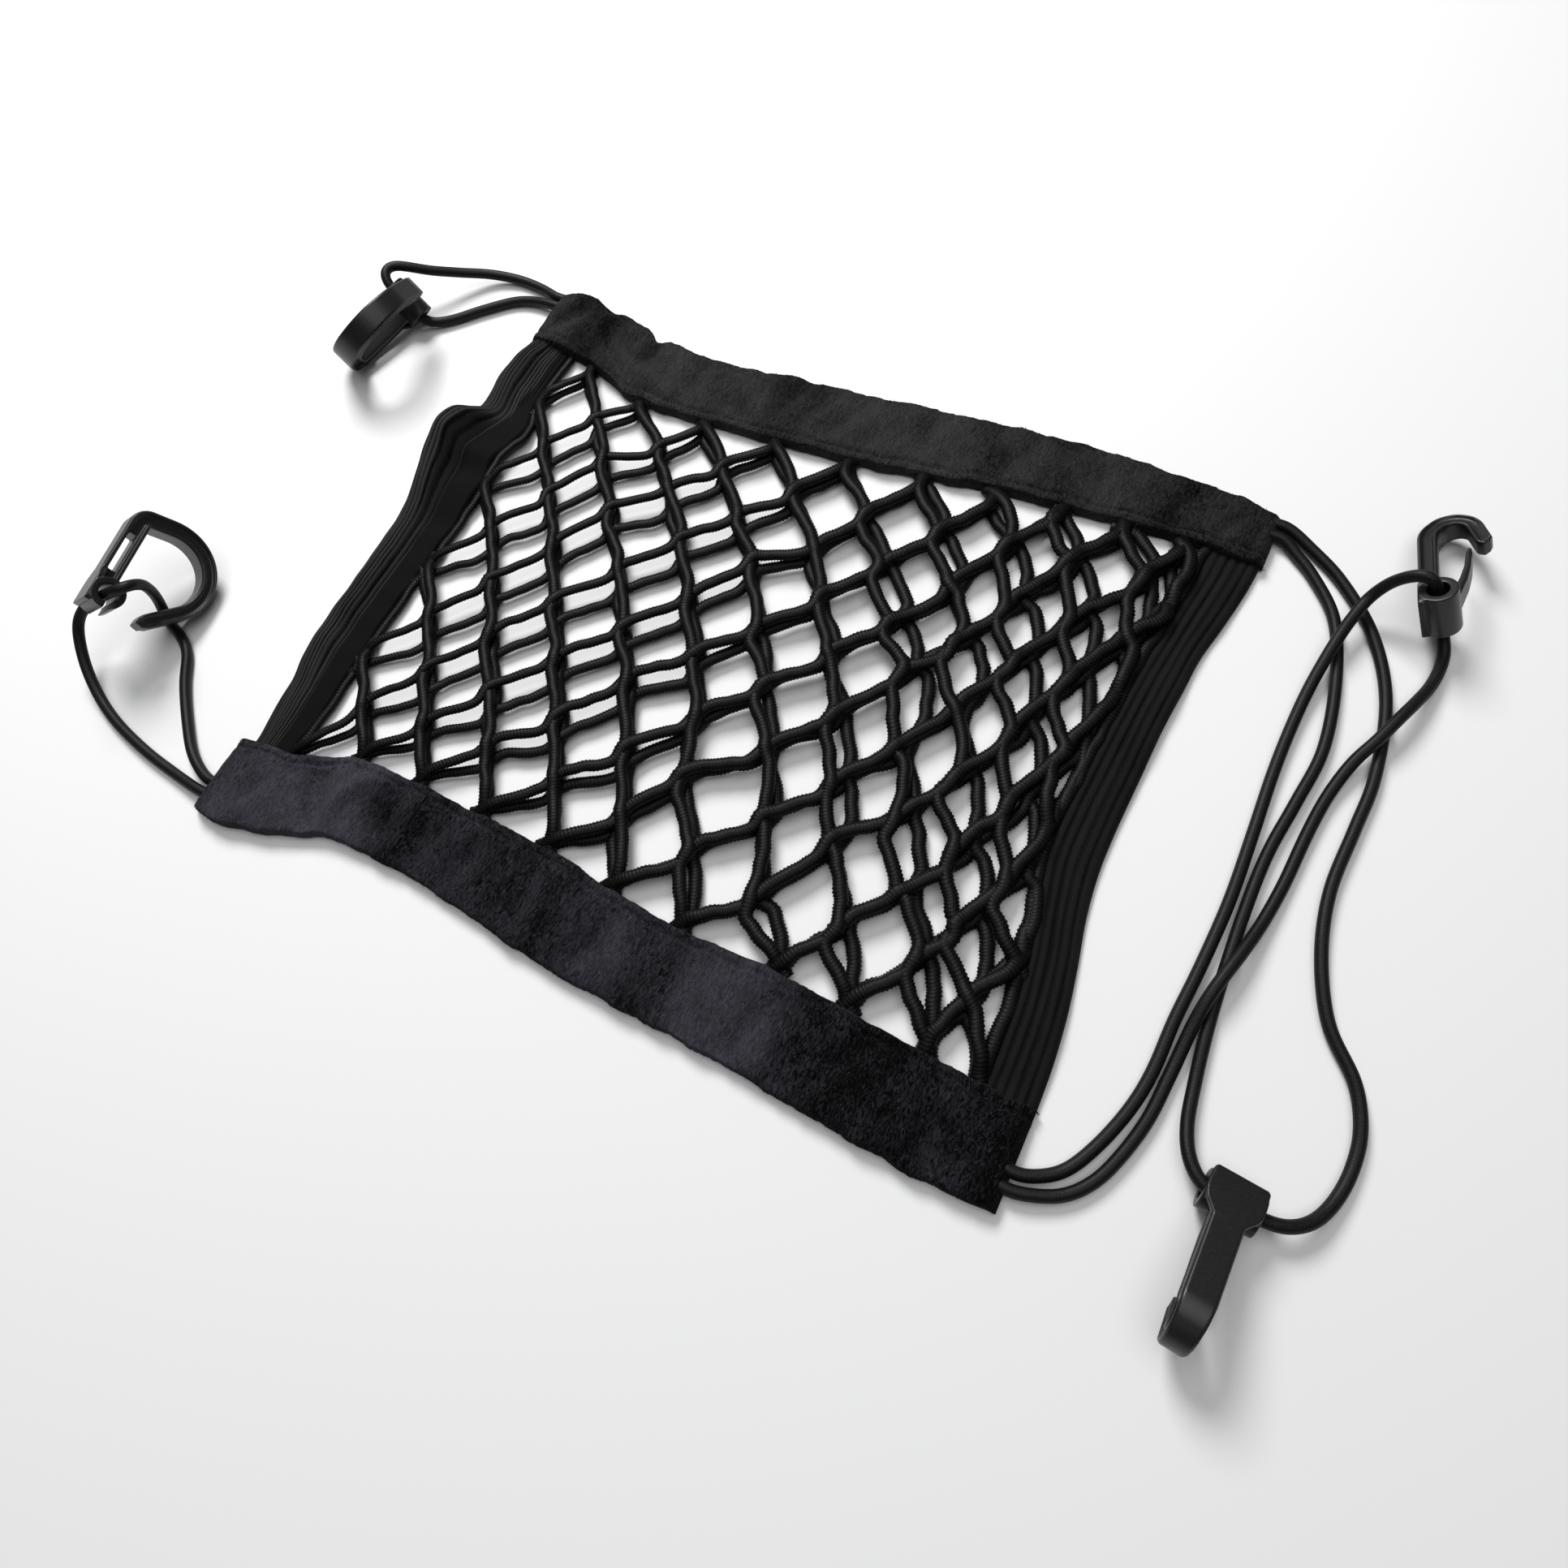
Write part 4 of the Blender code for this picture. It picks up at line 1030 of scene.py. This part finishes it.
# Points of the strap's middle line, and its direction at each
def strapLine(shape):
    at = Vector((0.0, -(shape["barrelRadius"] - shape["shankThick"] / 2)))
    angle = 0.0
    line = [(at.copy(), angle)]
    for radius, amount in [(None, shape["shank"])] + shape["bends"]:
        length = amount if radius is None else radius * math.radians(abs(amount))
        turn = 0.0 if radius is None else math.radians(amount)
        steps = 2 if radius is None else max(4, round(abs(amount) / 3.5))
        for _ in range(steps):
            angle += turn / steps / 2
            at = at + Vector((math.cos(angle), math.sin(angle))) * (length / steps)
            angle += turn / steps / 2
            line.append((at.copy(), angle))
    return line


# An I section: rims at the faces and a groove along each flank, which ends before the tip
def strapSection(thick, width, share):
    half, side = thick / 2, width / 2
    rim = hookFinish["rim"] * half
    most, part = hookFinish["groove"]
    sunk = side - min(most, part * side) * min(1.0, (1 - share) / hookFinish["grooveEnd"])
    quarter = [(half, side - 0.7), (half - 0.5, side), (rim, side), (rim - 0.5, sunk)]
    over = quarter + [(-n, a) for n, a in reversed(quarter)]
    return over + [(-n, -a) for n, a in over]


# The points of a section that stands across a line in the hook's own plane
def standing(at, across, section):
    row = []
    for out, up in section:
        spot = at + across * out
        row.append(Vector((spot.x, spot.y, up)) * mm)
    return row


def strapStore(shape):
    line = strapLine(shape)
    taperFrom, taperLoss = hookFinish["taper"]
    rows = []
    for i, (at, angle) in enumerate(line):
        share = i / (len(line) - 1)
        thick = blend((shape["shankThick"], shape["tipThick"]), min(1.0, share * 1.6))
        thick *= 1 - taperLoss * eased((share - taperFrom) / (1 - taperFrom))
        width = blend((shape["baseWidth"], shape["tipWidth"]), share)
        across = Vector((-math.sin(angle), math.cos(angle)))
        rows.append(standing(at, across, strapSection(thick, width, share)))
    return lofted(rows)


def tongueStore(shape):
    reach, out = shape["tongue"]
    start, end = Vector((1.5, shape["barrelRadius"] - 1.6)), Vector((reach, out))
    across = Vector((-(end - start).y, (end - start).x)).normalized()
    rows = []
    for share, thick, width in tongueSizes:
        at = start.lerp(end, share) + across * 1.2 * math.sin(math.pi * share)
        rows.append(standing(at, across, [(n * thick, a * width) for n, a in tongueRound]))
    return lofted(rows)


def helperCylinder(radius, length):
    bpy.ops.object.select_all(action="DESELECT")
    bpy.ops.mesh.primitive_cylinder_add(vertices=48, radius=radius * mm, depth=length * mm)
    return bpy.context.object


def helperBox(low, high):
    bpy.ops.object.select_all(action="DESELECT")
    middle = [(a + b) / 2 * mm for a, b in zip(low, high)]
    sides = [(b - a) * mm for a, b in zip(low, high)]
    bpy.ops.mesh.primitive_cube_add(size=1.0, location=middle, scale=sides)
    bpy.ops.object.transform_apply(location=True, rotation=False, scale=True)
    return bpy.context.object


# Applies all the modifiers of a piece
def bakeModifiers(piece):
    bpy.context.view_layer.update()
    evaluated = piece.evaluated_get(bpy.context.evaluated_depsgraph_get())
    mesh = bpy.data.meshes.new_from_object(evaluated)
    piece.modifiers.clear()
    piece.data = mesh


# Joins a helper to a piece or cuts it away, and removes it
def combine(piece, helper, operation):
    step = piece.modifiers.new("combine", "BOOLEAN")
    step.operation = operation
    step.object = helper
    step.solver = "EXACT"
    bakeModifiers(piece)
    bpy.data.objects.remove(helper)


def hookMesh(kind):
    shape = hookShapes[kind]
    radius, length = shape["barrelRadius"], shape["barrelLength"]
    body = newPiece("strap", strapStore(shape), plasticMaterial)
    pointOutwards(body)
    combine(body, helperCylinder(radius, length), "UNION")
    outline = shape["plate"] + [(x, -z) for x, z in reversed(shape["plate"])]
    plateSides = [[Vector((x, y, z)) * mm for x, z in outline]
                  for y in (-radius - 0.05, hookFinish["plateThick"] - radius)]
    added = [lofted(plateSides)] + ([tongueStore(shape)] if shape["tongue"] else [])
    for store in added:
        helper = newPiece("helper", store, plasticMaterial)
        pointOutwards(helper)
        combine(body, helper, "UNION")
    past = length / 2 + 1  # further than the hook's faces
    if shape["slot"]:
        start, run = shape["slot"]
        low, high = (n - (radius - shape["shankThick"] / 2) for n in hookFinish["slotSides"])
        combine(body, helperBox((start, low, -past), (start + run, high, past)), "DIFFERENCE")
    combine(body, helperCylinder(shape["bore"], length + 6), "DIFFERENCE")
    if shape["split"]:
        low, high = hookFinish["splitSides"]
        inside = hookFinish["splitDeep"] - shape["bore"]
        combine(body, helperBox((-radius - 1, low, -length), (inside, high, length)), "DIFFERENCE")
    # A remesh rounds every edge a little, as a mould does
    step = body.modifiers.new("round", "REMESH")
    step.mode = "VOXEL"
    step.voxel_size = hookFinish["voxel"] * mm
    step = body.modifiers.new("soften", "SMOOTH")
    step.factor = 0.5
    step.iterations = hookFinish["soften"]
    step = body.modifiers.new("lighten", "DECIMATE")
    step.ratio = hookFinish["keep"]
    bakeModifiers(body)
    mesh = body.data
    bpy.data.objects.remove(body)
    return mesh


hookMeshes = {kind: hookMesh(kind) for kind in hookShapes}
hooks = {}
for node, kind, x, y, turn in hookPlaces:
    mesh = hookMeshes[kind].copy()
    mesh.transform(Euler([math.radians(angle) for angle in turn], "XYZ").to_matrix().to_4x4())
    spot = place(x, y, 0.02)
    spot.z -= min(vert.co.z for vert in mesh.vertices)
    for vert in mesh.vertices:
        vert.co += spot
    mesh.materials.clear()
    mesh.materials.append(plasticMaterial)
    mesh.shade_smooth()
    name = "moulded_" + node
    hooks[node] = newObject(name, mesh)
    finishPiece(hooks[node], "satin_plastic", node)
    print(name, "made,", len(mesh.polygons), "faces")


# Routes: x, y and height of the cord's middle, from the band, through a hook, and back
cordRoutes = {
    "cord_top_left": [
        (-152.5, 124, 3.6), (-162, 127, 2.4), (-174, 128, 2.4), (-186, 125, 4.3), (-196, 118.3, 8.0),
        (-204.5, 111.2, 12.6), (-210.8, 106.8, 16.2), (-215.4, 103.6, 18.4), (-217.4, 100.4, 18.9),
        (-216.3, 96.9, 18.2), (-213, 94.8, 15.4), (-207, 93.6, 10.3), (-201.4, 92.6, 5.6),
        (-196.5, 94.0, 2.8), (-189.5, 99, 2.1), (-181, 107.3, 2.1), (-170, 116.5, 2.1),
        (-161, 119.5, 2.6), (-152.5, 119.5, 3.6),
    ],
    "cord_bottom_left": [
        (-153.5, -122.5, 3.2), (-166, -121, 2.2), (-182, -118.5, 2.1), (-200, -114, 2.1),
        (-214, -108, 3.2), (-224, -100, 8), (-229, -91, 15), (-227.5, -85, 20), (-222.2, -80.5, 23.5),
        (-216, -79.4, 27.9), (-209.3, -78.2, 32.4), (-205, -76.6, 34.6), (-202.6, -73.2, 34),
        (-204, -69.6, 29), (-208.5, -67.6, 21), (-213, -66.8, 12), (-214.5, -68, 5),
        (-211, -71, 2.2), (-203, -74, 2.1), (-195, -79, 2.1), (-187, -90, 2.1), (-176, -102, 2.1),
        (-165, -112, 2.3), (-153.5, -117.5, 3.2),
    ],
    "cord_top_right": [
        (152.8, 114.5, 3.4), (158, 111, 2.4), (166, 104.5, 2.1), (177, 90.5, 2.1), (184, 68, 2.1),
        (187.3, 43, 2.1), (185, 22, 2.1), (182.3, 2, 2.1), (181.8, -20, 2.1), (182.5, -45, 2.1),
        (183.5, -60, 2.1), (185, -74, 2.3), (186.5, -85, 3.6), (189.5, -93.5, 5.6),
        (195, -99.1, 7), (203, -100, 7.04), (211, -100.8, 7.0), (218, -99.6, 6.2),
        (224, -95, 4.6), (228, -87, 2.8), (229.8, -77, 2.1), (229, -66, 2.1), (224, -54, 2.1),
        (213, -41, 2.1), (205.5, -22, 2.1), (202.3, -2, 2.1), (203.3, 20, 2.1), (204, 40, 2.1),
        (200, 67, 2.1), (190, 89, 2.1), (175, 106, 2.1), (162, 115, 2.4), (152.8, 119.5, 3.4),
    ],
    "cord_bottom_right": [
        (151, -117.5, 3.2), (160, -112, 2.3), (166, -102, 2.1), (171, -88, 2.1), (173.3, -75, 2.1),
        (174, -58, 2.1), (175.6, -40, 2.1), (176.8, -17, 2.1), (176.4, 7, 2.1), (175.8, 28, 2.1),
        (176, 45, 2.3), (176.8, 60, 3.2), (178.2, 72, 5.2), (179.8, 82, 6.8), (181.6, 90, 7.6),
        (183.8, 97, 9.5), (187, 100.2, 15), (190.5, 100.8, 20), (194.3, 100.7, 23.5),
        (197.6, 100.3, 24.2), (200.1, 99.4, 21.3), (203.8, 98.3, 14.4), (207.4, 97.1, 7.6),
        (209.3, 95.4, 4.6), (211.4, 91.5, 2.8), (212, 86, 2.3), (210.8, 77, 3.4), (207.6, 67.5, 5.6),
        (204.2, 59, 6.5), (200.6, 50, 5.8), (196.4, 41, 3.8), (193, 28, 2.2), (191, 13, 2.1),
        (189.6, -5, 2.1), (187.4, -20, 3.2), (184.6, -32, 5.6), (182.2, -40.5, 6.6), (180.2, -49, 5.8),
        (179, -58, 3.6), (178.4, -68, 2.3), (177.8, -76, 2.1), (176.6, -88, 2.1), (173.5, -100, 2.1),
        (169, -110.5, 2.1), (162, -118, 2.4), (151, -122.5, 3.2),
    ],
}
# In mm, apart from the sides of a ring and the rounds of smoothing
cordSize = {"width": 4.0, "sides": 16, "step": 1.2, "smooth": 4, "tuckIn": 6.0}
# Columns: cord, real length in mm from band to band, the hook that it runs through
cordFacts = [
    ("cord_top_left", 161, "hook_top_left"),
    ("cord_bottom_left", 245, "hook_bottom_left"),
    ("cord_top_right", 504, "hook_bottom_right"),
    ("cord_bottom_right", 506, "hook_top_right"),
]

for node, length, hook in cordFacts:
    route = [Vector(point) for point in cordRoutes[node]]
    inwards = Vector((cordSize["tuckIn"] if route[0].x < 0 else -cordSize["tuckIn"], 0, 0))
    route = [route[0] + inwards] + route + [route[-1] + inwards]
    points = [point + Vector((*middleShift, 0)) for point in evenly(route, cordSize["step"])]
    for _ in range(cordSize["smooth"]):
        points[1:-1] = [(before + at * 2 + after) / 4
                        for before, at, after in zip(points, points[1:], points[2:])]
    store, width = ([], [], []), cordSize["width"]
    frames = framesAlong(points, False)
    rings = [(point, pointFrame, width, width, 0.0) for point, pointFrame in zip(points, frames)]
    addTube(store, rings, cordSize["sides"])
    name = "elastic_" + node
    piece = newPiece(name, store, cordMaterial)
    finishPiece(piece, "elastic_cord", node)
    print(name, "made")
